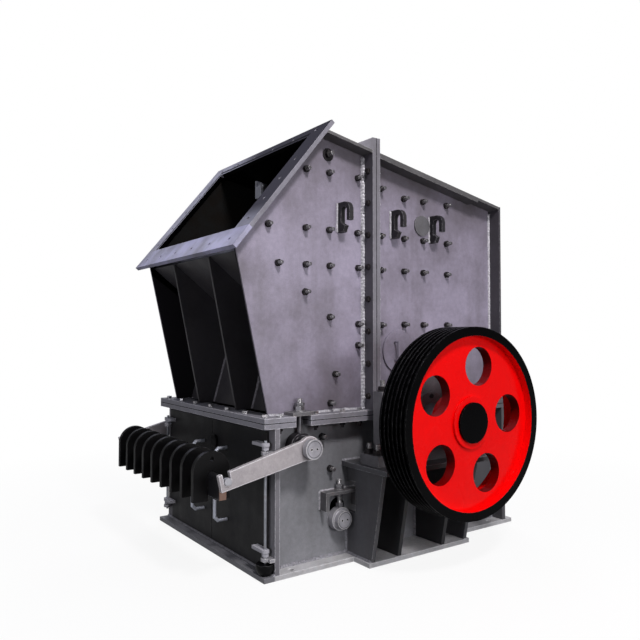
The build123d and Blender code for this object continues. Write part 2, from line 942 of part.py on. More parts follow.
def make_lever_arms():
    lever = Plane(
        origin=(pivot_x, -arm_inner_y, pivot_z),
        x_dir=(-cos(arm_angle), 0, -sin(arm_angle)),
        z_dir=(0, -1, 0),
    )
    with BuildPart() as arms:
        with BuildSketch(lever):
            with BuildLine():
                Polyline(
                    (0, -arm_root_depth / 2),
                    (arm_reach, -arm_tip_depth / 2),
                    (arm_reach, arm_tip_depth / 2),
                    (0, arm_root_depth / 2),
                    close=True,
                )
            make_face()
            Circle(arm_boss_radius)
            Circle(pivot_radius, mode=Mode.SUBTRACT)
            with Locations((arm_reach - hook_set_back, 0)):
                Circle(hook_width / 2, mode=Mode.SUBTRACT)
            with Locations((arm_reach - hook_set_back, -arm_tip_depth / 2)):
                Rectangle(hook_width, arm_tip_depth, mode=Mode.SUBTRACT)
        extrude(amount=arm_thick)
        mirror(about=Plane.XZ)
    save(arms, "lever_arms")


def cap_hole_profile(x, z, face_y):
    """The two tapped holes in the near face of a pin cap."""
    with BuildSketch(Plane.XZ.offset(face_y)) as profile:
        with Locations((x, z)):
            with GridLocations(cap_hole_spacing, 1, 2, 1):
                Circle(cap_hole_radius)
    return profile.sketch


def make_pivot_caps():
    with BuildPart() as caps:
        with BuildSketch(Plane.XZ.offset(arm_outer_y + washer_gap)):
            with Locations((pivot_x, pivot_z)):
                Circle(pivot_cap_radius)
        extrude(amount=pivot_cap_thick)
        holes = cap_hole_profile(pivot_x, pivot_z, arm_outer_y + washer_gap + pivot_cap_thick)
        extrude(holes, amount=-cap_hole_depth, mode=Mode.SUBTRACT)
        mirror(about=Plane.XZ)
    save(caps, "lever_shaft_caps")


def make_weight_bar():
    half = arm_inner_y - weight_bar_arm_gap
    end_y = arm_outer_y + rod_end_proud
    with BuildPart() as bar:
        with BuildSketch(Plane.XZ.offset(-half)):
            with Locations((hook_x, hook_z - weight_bar_depth / 2)):
                Rectangle(weight_bar_thick, weight_bar_depth)
        extrude(amount=2 * half)
        with BuildSketch(Plane.XZ.offset(-end_y)):
            with Locations((hook_x, hook_z)):
                Circle(hook_pin_radius)
        extrude(amount=2 * end_y)
    save(bar, "weight_bar")


def make_weight_plates():
    saddle = hook_pin_radius + plate_slot_gap
    foot_z = hook_z - plate_leg_height
    dome = plate_width / 2
    top_z = foot_z + plate_height
    with BuildPart() as plates:
        for i in range(plate_count):
            y = (i - (plate_count - 1) / 2) * plate_pitch
            with BuildSketch(Plane.XZ.offset(y - plate_thick / 2)):
                with Locations((hook_x, foot_z + (plate_height - dome) / 2)):
                    Rectangle(plate_width, plate_height - dome)
                with Locations((hook_x, top_z - dome)):
                    Circle(dome)
                with Locations((hook_x, foot_z + plate_leg_height / 2)):
                    Rectangle(2 * saddle, plate_leg_height, mode=Mode.SUBTRACT)
                with Locations((hook_x, hook_z)):
                    Circle(saddle, mode=Mode.SUBTRACT)
                with Locations((hook_x, top_z - plate_hole_drop)):
                    Circle(plate_hole_radius, mode=Mode.SUBTRACT)
            extrude(amount=plate_thick)
    save(plates, "weight_plates")


# Doors and hinges

def make_door(label, side):
    width = door_edge_y - door_gap / 2
    mid_y = side * (door_gap / 2 + width / 2)
    low_notch_top = lug_low_z + lug_thick + hinge_clearance
    high_notch_low = lug_high_z - hinge_clearance
    cup_depth = door_edge_y - hinge_y + cup_radius + hinge_clearance
    lug_depth = door_edge_y - hinge_y + lug_radius + hinge_clearance
    plate_depth = door_face_x - hinge_x + lug_radius
    with BuildPart() as door:
        with BuildSketch(Plane.YZ.offset(door_face_x)):
            with Locations((mid_y, (door_low_z + door_high_z) / 2)):
                Rectangle(width, door_high_z - door_low_z)
            with Locations((side * door_edge_y, (door_low_z + low_notch_top) / 2)):
                Rectangle(2 * cup_depth, low_notch_top - door_low_z, mode=Mode.SUBTRACT)
            with Locations((side * door_edge_y, high_notch_low + lug_thick / 2 + hinge_clearance)):
                Rectangle(2 * lug_depth, lug_thick + 2 * hinge_clearance, mode=Mode.SUBTRACT)
        extrude(amount=door_thick)
        for z in (lug_low_z, lug_high_z):
            with BuildSketch(Plane.XY.offset(z + lug_spacing)):
                with Locations((hinge_x, side * hinge_y)):
                    Circle(lug_radius)
                with Locations((door_face_x - plate_depth / 2, side * (hinge_y - lug_inward / 2))):
                    Rectangle(plate_depth, lug_inward)
                with Locations((hinge_x, side * hinge_y)):
                    Circle(hinge_rod_radius + journal_gap, mode=Mode.SUBTRACT)
            extrude(amount=lug_thick)
            with BuildSketch(Plane.XY.offset(z + lug_thick + lug_gap)):
                with Locations((hinge_x, side * hinge_y)):
                    Circle(sleeve_radius)
                    Circle(hinge_rod_radius + journal_gap, mode=Mode.SUBTRACT)
            extrude(amount=lug_spacing - lug_thick - lug_gap)
    save(door, label)


def make_handle(label, y):
    bar_x = door_face_x - handle_stand_off
    bend_x = bar_x + handle_bend
    with BuildPart() as handle:
        with BuildLine() as path:
            Polyline(
                (door_face_x, y, handle_low_z),
                (bend_x, y, handle_low_z),
                (bar_x, y, handle_low_z + handle_bend),
                (bar_x, y, handle_high_z - handle_bend),
                (bend_x, y, handle_high_z),
                (door_face_x, y, handle_high_z),
            )
        with BuildSketch(Plane.YZ.offset(door_face_x)):
            with Locations((y, handle_low_z)):
                Circle(handle_radius)
        sweep(path=path.line, transition=Transition.RIGHT)
    save(handle, label)


def make_latch():
    with BuildPart() as latch:
        with BuildSketch(Plane.YZ.offset(door_face_x - latch_thick)):
            with Locations((latch_y, latch_z)):
                Circle(latch_radius)
        extrude(amount=latch_thick)
    save(latch, "door_latch")


def make_hinge_rods():
    with BuildPart() as rods:
        low = base_thick + cup_height
        with BuildSketch(Plane.XY.offset(low)):
            with Locations((hinge_x, -hinge_y), (hinge_x, hinge_y)):
                Circle(hinge_rod_radius)
        extrude(amount=hinge_rod_top - low)
    save(rods, "door_hinge_rods")


def make_hinge_lugs():
    reach = half_flange - hinge_y
    depth = lower_front_x - hinge_x
    with BuildPart() as lugs:
        for z in (lug_low_z, lug_high_z):
            with BuildSketch(Plane.XY.offset(z)):
                for side in (-1, 1):
                    with Locations((hinge_x, side * hinge_y)):
                        Circle(lug_radius)
                    with Locations((hinge_x + depth / 2, side * (hinge_y + reach / 2))):
                        Rectangle(depth, reach)
                    with Locations((hinge_x, side * hinge_y)):
                        Circle(hinge_rod_radius, mode=Mode.SUBTRACT)
            extrude(amount=lug_thick)
    save(lugs, "hinge_lugs")


def make_hinge_cups():
    with BuildPart() as cups:
        with BuildSketch(Plane.XZ.offset(hinge_y)):
            with BuildLine():
                Line((hinge_x, base_thick), (hinge_x + cup_foot_radius, base_thick))
                mid_radius = cup_foot_radius + (cup_radius - cup_foot_radius) * sin(radians(45))
                mid_z = base_thick + cup_height * (1 - cos(radians(45)))
                ThreePointArc(
                    (hinge_x + cup_foot_radius, base_thick),
                    (hinge_x + mid_radius, mid_z),
                    (hinge_x + cup_radius, base_thick + cup_height),
                )
                Polyline(
                    (hinge_x + cup_radius, base_thick + cup_height),
                    (hinge_x, base_thick + cup_height),
                    (hinge_x, base_thick),
                )
            make_face()
        revolve(axis=Axis((hinge_x, -hinge_y, 0), (0, 0, 1)))
        split(bisect_by=Plane.YZ.offset(lower_front_x), keep=Keep.BOTTOM)
    save(cups, "hinge_cups")


# Lifting hooks, inspection covers and eyebolts

def make_lifting_hooks():
    top = lift_hook_top_z
    wall = -half_width
    inner_y = wall - lift_hook_shank
    outer_y = inner_y - lift_hook_throat
    tip_y = wall - lift_hook_reach
    throat = lift_hook_throat / 2
    arch = lift_hook_reach - lift_hook_shank - throat
    arch_z = top - arch
    foot_z = top - lift_hook_height
    with BuildPart() as hooks:
        for x in hook_places:
            with BuildSketch(Plane.YZ.offset(x - lift_hook_thick / 2)):
                with BuildLine():
                    Polyline((wall, foot_z), (wall, top), (tip_y + arch, top))
                    ThreePointArc(
                        (tip_y + arch, top),
                        (tip_y + arch * (1 - sin(radians(45))), top - arch * (1 - cos(radians(45)))),
                        (tip_y, arch_z),
                    )
                    Polyline(
                        (tip_y, arch_z),
                        (tip_y, top - lift_hook_prong),
                        (outer_y, top - lift_hook_prong),
                        (outer_y, arch_z),
                    )
                    ThreePointArc(
                        (outer_y, arch_z),
                        (outer_y + throat, arch_z + throat),
                        (inner_y, arch_z),
                    )
                    Polyline(
                        (inner_y, arch_z),
                        (inner_y, foot_z + lift_hook_throat),
                        (inner_y - lift_hook_shank, foot_z + lift_hook_shank),
                        (inner_y - lift_hook_shank / 2, foot_z),
                        (wall, foot_z),
                    )
                make_face()
            extrude(amount=lift_hook_thick)
        mirror(about=Plane.XZ)
    save(hooks, "lifting_hooks")


def make_inspection_covers():
    face_y = half_width + inspection_thick
    with BuildPart() as covers:
        with BuildSketch(Plane.XZ.offset(half_width)):
            with Locations((cover_x, cover_z)):
                Circle(inspection_radius)
        extrude(amount=inspection_thick)
        with BuildSketch(Plane.YZ.offset(cover_handle_x - cover_handle_bar / 2)):
            with Locations((-face_y - cover_handle_reach / 2, cover_z)):
                Rectangle(cover_handle_reach, cover_handle_height)
            with Locations((-face_y - (cover_handle_reach - cover_handle_bar) / 2, cover_z)):
                Rectangle(
                    cover_handle_reach - cover_handle_bar,
                    cover_handle_height - 2 * cover_handle_bar,
                    mode=Mode.SUBTRACT,
                )
        extrude(amount=cover_handle_bar)
        mirror(about=Plane.XZ)
    save(covers, "inspection_covers")


def make_eyebolts():
    low = pivot_z + bush_radius + journal_gap
    top = top_flange_z + bridge_thick + eyebolt_proud
    with BuildPart() as bolts:
        with BuildSketch(Plane.XY.offset(low)):
            with Locations((eyebolt_x, eyebolt_y), (eyebolt_x, -eyebolt_y)):
                Circle(eyebolt_radius)
        extrude(amount=top - low)
    save(bolts, "pivot_eyebolts")


def make_bridges():
    mid_y = half_width + bridge_wall_gap + bridge_width / 2
    with BuildPart() as bridges:
        with BuildSketch(Plane.XY.offset(top_flange_z)):
            with Locations((flange_slot_x, mid_y), (flange_slot_x, -mid_y)):
                Rectangle(bridge_length, bridge_width)
            with Locations((eyebolt_x, eyebolt_y), (eyebolt_x, -eyebolt_y)):
                Circle(eyebolt_radius + journal_gap, mode=Mode.SUBTRACT)
        extrude(amount=bridge_thick)
    save(bridges, "eyebolt_bridges")


def make_adjusting_brackets():
    with BuildPart() as brackets:
        with BuildSketch(Plane.XZ.offset(half_width)):
            with Locations((low_pin_x, (bracket_top_z + bracket_foot_z) / 2)):
                Rectangle(2 * bracket_half_length, bracket_top_z - bracket_foot_z)
            with Locations((low_pin_x, (bracket_top_z + bracket_foot_z) / 2 - bracket_thick)):
                Rectangle(
                    2 * (bracket_half_length - bracket_thick),
                    bracket_top_z - bracket_foot_z,
                    mode=Mode.SUBTRACT,
                )
        extrude(amount=bracket_depth)
        with BuildSketch(Plane.XY.offset(bracket_top_z - bracket_thick)):
            with Locations((low_pin_x, -(half_width + low_eye_width / 2))):
                Circle(low_stud_radius + journal_gap)
        extrude(amount=bracket_thick, mode=Mode.SUBTRACT)
        mirror(about=Plane.XZ)
    save(brackets, "adjusting_brackets")


def make_lower_pin():
    with BuildPart() as pin:
        with BuildSketch(Plane.XZ.offset(inner_half - low_pin_inward)):
            with Locations((low_pin_x, low_pin_z)):
                Circle(low_pin_radius)
        extrude(amount=wall_thick + low_pin_inward)
        with BuildSketch(Plane.XZ.offset(half_width)):
            with Locations((low_pin_x, low_pin_z)):
                Circle(low_eye_radius)
        extrude(amount=low_eye_width)
        with BuildSketch(Plane.XZ.offset(half_width + low_eye_width)):
            with Locations((low_pin_x, low_pin_z)):
                Circle(low_cap_radius)
        extrude(amount=low_cap_thick)
        holes = cap_hole_profile(low_pin_x, low_pin_z, half_width + low_eye_width + low_cap_thick)
        extrude(holes, amount=-cap_hole_depth, mode=Mode.SUBTRACT)
        with BuildSketch(Plane.XY.offset(low_pin_z)):
            with Locations((low_pin_x, -(half_width + low_eye_width / 2))):
                Circle(low_stud_radius)
        extrude(amount=bracket_top_z + low_stud_proud - low_pin_z)
        mirror(about=Plane.XZ)
    save(pin, "adjusting_pins")


# Impact apron inside the casing

def make_apron_shaft():
    with BuildPart() as shaft:
        with BuildSketch(Plane.XZ.offset(-half_width)):
            with Locations((apron_x, apron_z)):
                Circle(apron_shaft_radius)
        extrude(amount=2 * half_width)
        with BuildSketch(Plane.XZ.offset(half_width)):
            with Locations((apron_x, apron_z)):
                Circle(apron_disc_radius)
        extrude(amount=apron_disc_thick)
        with BuildSketch(Plane.XZ.offset(-half_width - apron_disc_thick)):
            with Locations((apron_x, apron_z)):
                Circle(apron_disc_radius)
        extrude(amount=apron_disc_thick)
    save(shaft, "apron_shaft")


def make_impact_apron():
    half = liner_half - apron_side_gap
    tip_z = shaft_z + apron_tip_rise
    with BuildPart() as apron:
        with BuildSketch(Plane.XZ.offset(-half)):
            with BuildLine():
                Polyline(
                    (apron_x - apron_eye_radius, apron_z),
                    (apron_x - apron_neck_shift, apron_z - apron_neck_drop),
                    (apron_x + apron_tip_shift, tip_z),
                    (apron_x + apron_tip_shift + apron_eye_radius, tip_z),
                    (apron_x + apron_back_reach, apron_z - apron_neck_drop),
                    (apron_x + apron_eye_radius, apron_z),
                    close=True,
                )
            make_face()
            with Locations((apron_x, apron_z)):
                Circle(apron_eye_radius)
                Circle(apron_shaft_radius + journal_gap, mode=Mode.SUBTRACT)
        extrude(amount=2 * half)
    save(apron, "impact_apron")


make_base_frame()
make_lower_side_walls()
make_lower_front_frame()
make_lower_rear_wall()
make_mid_flange("lower_mid_flange", low_flange_z)
make_mid_flange("upper_mid_flange", mid_height)
make_front_side_walls()
make_rear_side_walls()
make_front_wall()
make_chute_floor()
make_side_liners()
make_front_ribs()
make_feed_flange()
make_front_roof()
make_rear_roof()
make_split_flange_front()
make_split_flange_rear()
make_upper_rear_wall()
make_rear_flange()
make_bearing_stands()
make_bearing_housings()
make_shaft_seals()
make_rotor_shaft()
make_rotor_body()
make_blow_bars()
make_pulley_rim()
make_pulley_web()
make_hub_cap()
make_cross_shaft()
make_shaft_bushes()
make_lever_arms()
make_pivot_caps()
make_weight_bar()
make_weight_plates()
make_door("door_near", -1)
make_door("door_far", 1)
make_handle("door_near_handle", handle_near_y)
make_handle("door_far_handle", handle_far_y)
make_latch()
make_hinge_rods()
make_hinge_lugs()
make_hinge_cups()
make_lifting_hooks()
make_inspection_covers()
make_eyebolts()
make_bridges()
make_adjusting_brackets()
make_lower_pin()
make_apron_shaft()
make_impact_apron()
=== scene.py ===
"""Impact crusher: finishes, fastenings, weld beads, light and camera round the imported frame."""

import json
from math import ceil, cos, pi, radians, sin

import bmesh
import bpy
from mathutils import Matrix, Vector, noise


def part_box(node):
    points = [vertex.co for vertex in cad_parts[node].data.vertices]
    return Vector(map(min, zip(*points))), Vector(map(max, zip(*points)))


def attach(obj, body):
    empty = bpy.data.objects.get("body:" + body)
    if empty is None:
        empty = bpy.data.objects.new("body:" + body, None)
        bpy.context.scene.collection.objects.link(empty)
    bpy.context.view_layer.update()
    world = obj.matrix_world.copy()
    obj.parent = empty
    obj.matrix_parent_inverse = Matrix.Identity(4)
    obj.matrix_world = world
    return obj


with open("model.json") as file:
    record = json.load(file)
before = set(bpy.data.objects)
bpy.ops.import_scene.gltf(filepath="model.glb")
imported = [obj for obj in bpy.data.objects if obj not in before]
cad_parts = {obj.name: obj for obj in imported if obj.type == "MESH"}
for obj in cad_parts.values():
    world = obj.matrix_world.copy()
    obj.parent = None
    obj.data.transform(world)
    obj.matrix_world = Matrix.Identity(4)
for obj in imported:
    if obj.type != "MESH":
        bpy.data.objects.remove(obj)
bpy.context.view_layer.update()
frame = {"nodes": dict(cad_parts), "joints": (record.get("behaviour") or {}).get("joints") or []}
nodes = frame["nodes"]
scene = bpy.context.scene

X = Vector((1, 0, 0))
Y = Vector((0, 1, 0))
Z = Vector((0, 0, 1))
SIDES = (-1, 1)

# Faces of the frame that carry the small pieces
wall_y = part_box("lower_side_walls")[1].y
flange_x, flange_y, flange_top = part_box("upper_mid_flange")[1]
flange_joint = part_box("upper_mid_flange")[0].z
flange_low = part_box("lower_mid_flange")[0].z
flange_plate = flange_top - flange_joint
base_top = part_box("base_frame")[1].z
split_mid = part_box("split_flange_front")[1].x
split_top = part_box("split_flange_front")[1].z
split_front = split_mid - flange_plate
split_rear = split_mid + flange_plate
rear_wall_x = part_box("upper_rear_wall")[1].x
frame_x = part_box("lower_front_frame")[0].x
frame_back_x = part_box("lower_front_frame")[1].x
lower_rear_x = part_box("lower_rear_wall")[0].x
stand_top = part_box("bearing_stands")[1].z
housing_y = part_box("bearing_housings")[1].y
bracket_low, bracket_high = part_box("adjusting_brackets")
bridge_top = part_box("eyebolt_bridges")[1].z
door_face_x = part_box("door_near_handle")[1].x
pivot_cap_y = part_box("lever_shaft_caps")[1].y
pin_cap_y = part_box("adjusting_pins")[1].y
rim_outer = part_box("pulley_rim")[1].x
wall_corners = [vertex.co for vertex in nodes["front_side_walls"].data.vertices]
wall_foot_x = min(corner.x for corner in wall_corners if corner.z < flange_top + 0.001)

# Axes of the shaft, the lever pivot and the adjusting pin
joint_places = {joint["name"]: joint["pos_m"] for joint in frame["joints"]}
shaft_z = joint_places["rotor_spin"][2]
pivot_x = joint_places["counterweight_lift"][0]
pivot_z = joint_places["counterweight_lift"][2]
PIN_X = -0.455
PIN_Z = 0.238
EYEBOLT_Y = 0.653
PIN_STUD_Y = 0.6455
PIN_EYE_TOP = PIN_Z + 0.066
BRACKET_THICK = 0.018
HOUSING_LUG_TOP = 0.975
HOOK_PLACES = (-0.437, -0.019, 0.319)

# Underside of the front roof, as slope and as height at X = 0
ROOF_SLOPE = 0.18433
ROOF_UNDER = 2.343

# Plane of the feed flange: its lower edge, the directions up its slope and out of it, and
# half the width and the two ends of its opening
FEED_FOOT = Vector((-1.192, 0, 1.762))
FEED_SLOPE = Vector((0.6340, 0, 0.7734))
FEED_OUT = Vector((-0.7734, 0, 0.6340))
FEED_HALF_OPENING = 0.555
FEED_OPENING = (0.150, 0.905)

# Planes of the front wall and the chute floor, as direction and distance
FRONT_WALL = ((-0.961, 0, 0.275), 1.0215)
CHUTE_FLOOR = ((0.581, 0, 0.8137), 0.741)

# Limits of the masks: how far a place is moved off its face, the middle of a wall and of a thin
# plate, a hair's breadth, and the places of seams, holes, grooves and edges
OFF_FACE = 0.02
WALL_MIDDLE = 0.010
PLATE_MIDDLE = 0.009
HAIR = 0.0005
LEDGE_BLEND = 0.004
FLANGE_SEAM_HALF = 0.0022
SPLIT_SEAM_HALF = 0.0024
MOUTH_EDGE = 0.010
MOUTH_STEP_BAND = (0.012, 0.034)
RIM_DEPTH = 0.058
WEB_HOLES = (0.20, 0.43)
STAND_BAY = (0.372, 0.350)
WEIGHT_FLAT_TOP = 0.55
FLAT_END = (0.700, 0.706)
BAR_PIN_END = 0.745
CAPS = ((pivot_x, pivot_z, pivot_cap_y), (PIN_X, PIN_Z, pin_cap_y))
CAP_HOLES_REACH = 0.025
CAP_HOLE_LIP = 0.0008
CAP_RING = 0.044
CAP_RING_HALF = 0.0018


# Materials

class Nodes:
    """A node tree with short calls for the nodes that the materials and the world share."""

    def __init__(self, tree):
        self.tree = tree
        tree.nodes.clear()

    def new(self, kind, **values):
        """A node with some of its inputs set; an underscore stands for a space."""
        node = self.tree.nodes.new("ShaderNode" + kind)
        for name, value in values.items():
            self.feed(node.inputs[name.replace("_", " ")], value)
        return node

    def feed(self, socket, value):
        """Link or set one input."""
        if isinstance(value, bpy.types.NodeSocket):
            self.tree.links.new(value, socket)
        else:
            socket.default_value = value

    def maths(self, operation, a, b=0.5):
        node = self.new("Math")
        node.operation = operation
        self.feed(node.inputs[0], a)
        self.feed(node.inputs[1], b)
        return node.outputs[0]

    def below(self, value, limit):
        return self.maths("LESS_THAN", value, limit)

    def above(self, value, limit):
        return self.maths("GREATER_THAN", value, limit)

    def size_of(self, value):
        return self.maths("ABSOLUTE", value)

    def near(self, value, middle, reach):
        """1 where the value lies within reach of the middle."""
        return self.below(self.size_of(self.maths("SUBTRACT", value, middle)), reach)

    def vector(self, operation, a, b, output="Vector"):
        node = self.new("VectorMath")
        node.operation = operation
        self.feed(node.inputs[0], a)
        self.feed(node.inputs["Scale" if operation == "SCALE" else 1], b)
        return node.outputs[output]

    def along(self, where, direction):
        """How far a place lies along a direction."""
        return self.vector("DOT_PRODUCT", where, direction, "Value")

    def span(self, value, low, high, to_low=0.0, to_high=1.0):
        node = self.new("MapRange", Value=value, From_Min=low, From_Max=high, To_Min=to_low,
                        To_Max=to_high)
        return node.outputs["Result"]

    def blend(self, share, a, b):
        """Mix two shaders by a share of the second."""
        node = self.new("MixShader")
        for socket, value in zip(node.inputs, (share, a, b)):
            self.feed(socket, value)
        return node.outputs[0]


class Shader(Nodes):
    """A node material with short calls for the nodes that the finishes share."""

    def __init__(self, name):
        self.material = bpy.data.materials.new(name)
        self.material.use_nodes = True
        super().__init__(self.material.node_tree)
        self.surface = self.new("BsdfPrincipled")
        self.output = self.new("OutputMaterial", Surface=self.surface.outputs[0])
        place = self.new("TexCoord")
        self.spot = place.outputs["Object"]
        self.facing = place.outputs["Normal"]

    def put(self, name, value):
        """Set or link one input of the surface."""
        self.feed(self.surface.inputs[name], value)

    def noise(self, scale, detail, stretch=None):
        where = self.spot
        if stretch:
            where = self.vector("MULTIPLY", where, stretch)
        node = self.new("TexNoise", Vector=where, Scale=scale, Detail=detail, Roughness=0.6)
        return node.outputs["Fac"]

    def bump(self, height, distance, strength, normal=None):
        node = self.new("Bump", Strength=strength, Distance=distance, Height=height)
        if normal:
            self.feed(node.inputs["Normal"], normal)
        return node.outputs["Normal"]

    def bevel(self, radius):
        node = self.new("Bevel", Radius=radius)
        node.samples = 4
        return node.outputs["Normal"]

    def edges(self, radius):
        """How near a point is to an outside edge, from 0 to 1."""
        geometry = self.new("NewGeometry")
        along = self.along(self.bevel(radius), geometry.outputs["Normal"])
        return self.span(self.maths("SUBTRACT", 1.0, along), 0.004, 0.10)


def colour4(value):
    """A colour with its fourth number, or a socket as it is."""
    if isinstance(value, bpy.types.NodeSocket) or len(value) == 4:
        return value
    return (*value, 1.0)


def dimmed(colour, share):
    return tuple(share * c for c in colour)


def grey(shader, value):
    """A grey colour from one number."""
    return shader.new("CombineColor", Red=value, Green=value, Blue=value).outputs[0]


def colour_mix(shader, share, a, b, mode="MIX"):
    """Mix two colours by the RGBA sockets of a Mix node."""
    node = shader.new("Mix")
    node.data_type = "RGBA"
    node.blend_type = mode
    shader.feed(node.inputs[0], share)
    shader.feed(node.inputs[6], colour4(a))
    shader.feed(node.inputs[7], colour4(b))
    return node.outputs[2]


def apart(shader, where):
    """The X, Y and Z of a vector socket."""
    return shader.new("SeparateXYZ", Vector=where).outputs


def product(shader, shares):
    """All shares multiplied together."""
    result = shares[0]
    for share in shares[1:]:
        result = shader.maths("MULTIPLY", result, share)
    return result


def nudged(shader, reach):
    """The place moved out along its normal, which tells the two faces of a plate apart."""
    return shader.vector("ADD", shader.spot, shader.vector("SCALE", shader.facing, reach))


def axis_distance(shader, where, x, z):
    """Distance from an axis that runs along Y."""
    from_axis = shader.vector("SUBTRACT", where, (x, 0, z))
    flat = shader.vector("MULTIPLY", from_axis, (1, 0, 1))
    return shader.vector("LENGTH", flat, (0, 0, 0), "Value")


def feed_place(shader, where):
    """Distance up the feed slope and distance across it."""
    from_foot = shader.vector("SUBTRACT", where, FEED_FOOT)
    return shader.along(from_foot, FEED_SLOPE), apart(shader, where)["Y"]


# Masks: each gives the share of a patch on a finish, in the frame's own metres

def casing_inside_shade(shader):
    """1 on faces that look into the casing, which are painted black as shade."""
    where = nudged(shader, OFF_FACE)
    planes = (
        ((0, 1, 0), wall_y - WALL_MIDDLE),
        ((0, -1, 0), wall_y - WALL_MIDDLE),
        ((1, 0, 0), rear_wall_x - PLATE_MIDDLE),
        ((ROOF_SLOPE, 0, 1), ROOF_UNDER + PLATE_MIDDLE),
    )
    return product(shader, [shader.below(shader.along(where, out), reach) for out, reach in planes])


def recess_side_shade(shader):
    """1 on the side walls' inner faces in the recess below the feed mouth, which are painted dark as
    shade.
    """
    wall_out, wall_reach = FRONT_WALL
    chute_out, chute_reach = CHUTE_FLOOR
    return product(shader, (
        casing_inside_shade(shader),
        shader.above(shader.along(shader.spot, wall_out), wall_reach),
        shader.below(shader.along(shader.spot, chute_out), chute_reach),
    ))


def rusty_end(shader):
    """Rust on the ends of the weight bar's flat, which are raw and brown."""
    place = apart(shader, shader.spot)
    reach = shader.span(shader.size_of(place["Y"]), *FLAT_END, 0.0, 0.85)
    return product(shader, (reach, shader.below(place["Z"], WEIGHT_FLAT_TOP)))


def bar_pin_end(shader):
    """1 on the ends of the round pin at the top of the weight bar."""
    place = apart(shader, shader.spot)
    return product(shader, (
        shader.above(place["Z"], WEIGHT_FLAT_TOP),
        shader.above(shader.size_of(place["Y"]), BAR_PIN_END),
    ))


def rim_hollow(shader):
    """1 on the inner slope of the pulley rim, which is red like the web."""
    away = axis_distance(shader, nudged(shader, OFF_FACE), 0, shaft_z)
    return shader.below(away, rim_outer - RIM_DEPTH)


def hole_wall_shade(shader):
    """Painted shade on the walls of the pulley's five holes."""
    facing = shader.size_of(apart(shader, shader.facing)["Y"])
    away = axis_distance(shader, shader.spot, 0, shaft_z)
    return product(shader, (
        shader.span(facing, 0.5, 0.4, 0.0, 0.8),
        shader.above(away, WEB_HOLES[0]),
        shader.below(away, WEB_HOLES[1]),
    ))


def cap_hole_shade(shader):
    """1 in the two blind holes of each pivot cap and pin cap, which are painted near black as shade.
    """
    across = shader.size_of(apart(shader, shader.spot)["Y"])
    return shader.maths("MAXIMUM", *[product(shader, (
        shader.below(axis_distance(shader, shader.spot, x, z), CAP_HOLES_REACH),
        shader.below(across, face - CAP_HOLE_LIP),
    )) for x, z, face in CAPS])


def cap_ring(shader):
    """1 on the fine groove round the face of each pivot cap and pin cap."""
    across = shader.size_of(apart(shader, shader.spot)["Y"])
    return shader.maths("MAXIMUM", *[product(shader, (
        shader.near(axis_distance(shader, shader.spot, x, z), CAP_RING, CAP_RING_HALF),
        shader.above(across, face - HAIR),
    )) for x, z, face in CAPS])


def front_ledge_shade(shader):
    """Share of painted shade on the base plate in front of the doors."""
    along = apart(shader, shader.spot)["X"]
    return shader.span(along, frame_x + LEDGE_BLEND, frame_x - LEDGE_BLEND, 0.0, 0.85)


def proud_of_door(shader):
    """1 on the hinge lugs of a door, which stand proud of its dark face."""
    return shader.below(apart(shader, shader.spot)["X"], door_face_x - HAIR)


def flange_seam(shader):
    """1 on the open seam between the two halves of the middle flange."""
    return shader.near(apart(shader, shader.spot)["Z"], flange_joint, FLANGE_SEAM_HALF)


def split_seam(shader):
    """1 on the open seam between the two split flanges."""
    return shader.near(apart(shader, shader.spot)["X"], split_mid, SPLIT_SEAM_HALF)


def low_strip_sheen(shader):
    """Share of a painted bright bluish reflection on the feed flange's outer face below the opening.
    """
    up_slope = feed_place(shader, shader.spot)[0]
    blotch = shader.span(shader.noise(3.3, 4.0), 0.38, 0.62, 0.15, 0.85)
    return product(shader, (blotch, shader.below(up_slope, FEED_OPENING[0] - 0.002)))


def near_shade(shader):
    """Share of painted shade on the feed flange's outer face: it grows up the slope and nearer."""
    up_slope, across = feed_place(shader, shader.spot)
    return product(shader, (
        shader.above(shader.along(shader.facing, FEED_OUT), 0.5),
        shader.span(up_slope, 0.06, 0.32),
        shader.span(across, 0.60, 0.05),
    ))


def mouth_edge_shade(shader):
    """1 on the cut edge of the feed opening, painted black as shade where it looks into the dark
    mouth.
    """
    up_slope, across = feed_place(shader, nudged(shader, OFF_FACE))
    low, high = FEED_OPENING
    return product(shader, (
        shader.below(shader.size_of(across), FEED_HALF_OPENING - MOUTH_EDGE),
        shader.above(up_slope, low + MOUTH_EDGE),
        shader.below(up_slope, high - MOUTH_EDGE),
    ))


def mouth_step_shade(shader):
    """1 on a band beside the far and the upper edge of the feed opening, painted black as the shade
    of a step down from the flange.
    """
    up_slope, across = feed_place(shader, shader.spot)
    low, high = FEED_OPENING
    past_far = shader.maths("SUBTRACT", across, FEED_HALF_OPENING)
    past_top = shader.maths("SUBTRACT", up_slope, high)
    past_edge = shader.maths("MAXIMUM", past_far, past_top)
    return product(shader, (
        shader.above(past_edge, MOUTH_STEP_BAND[0]),
        shader.below(past_edge, MOUTH_STEP_BAND[1]),
        shader.above(up_slope, low),
        shader.above(across, -FEED_HALF_OPENING),
    ))


def wall_shade(shader):
    """Painted shade below the roof and above the middle flange, in soft clouds."""
    along = shader.along(shader.spot, (ROOF_SLOPE, 0, 1))
    height = apart(shader, shader.spot)["Z"]
    cloud = shader.span(shader.noise(5.0, 5.0), 0.3, 0.7, 0.5, 1.3)
    under_roof = shader.span(along, ROOF_UNDER - 0.30, ROOF_UNDER - 0.01, 0.0, 0.78)
    over_flange = shader.span(height, flange_top + 0.40, flange_top, 0.0, 0.48)
    return product(shader, (shader.maths("MAXIMUM", under_roof, over_flange), cloud))


def pulley_shadow(shader):
    """Painted shadow of the pulley on the casing behind it."""
    return shader.span(apart(shader, shader.spot)["X"], 0.30, 0.62, 0.0, 0.85)


def stand_bay_shade(shader):
    """Painted black shade between the gussets of the stand, behind its end plates."""
    place = apart(shader, shader.spot)
    inward = shader.span(shader.size_of(place["X"]), *STAND_BAY, 0.0, 0.88)
    return product(shader, (inward, shader.below(place["Z"], stand_top - 0.003)))


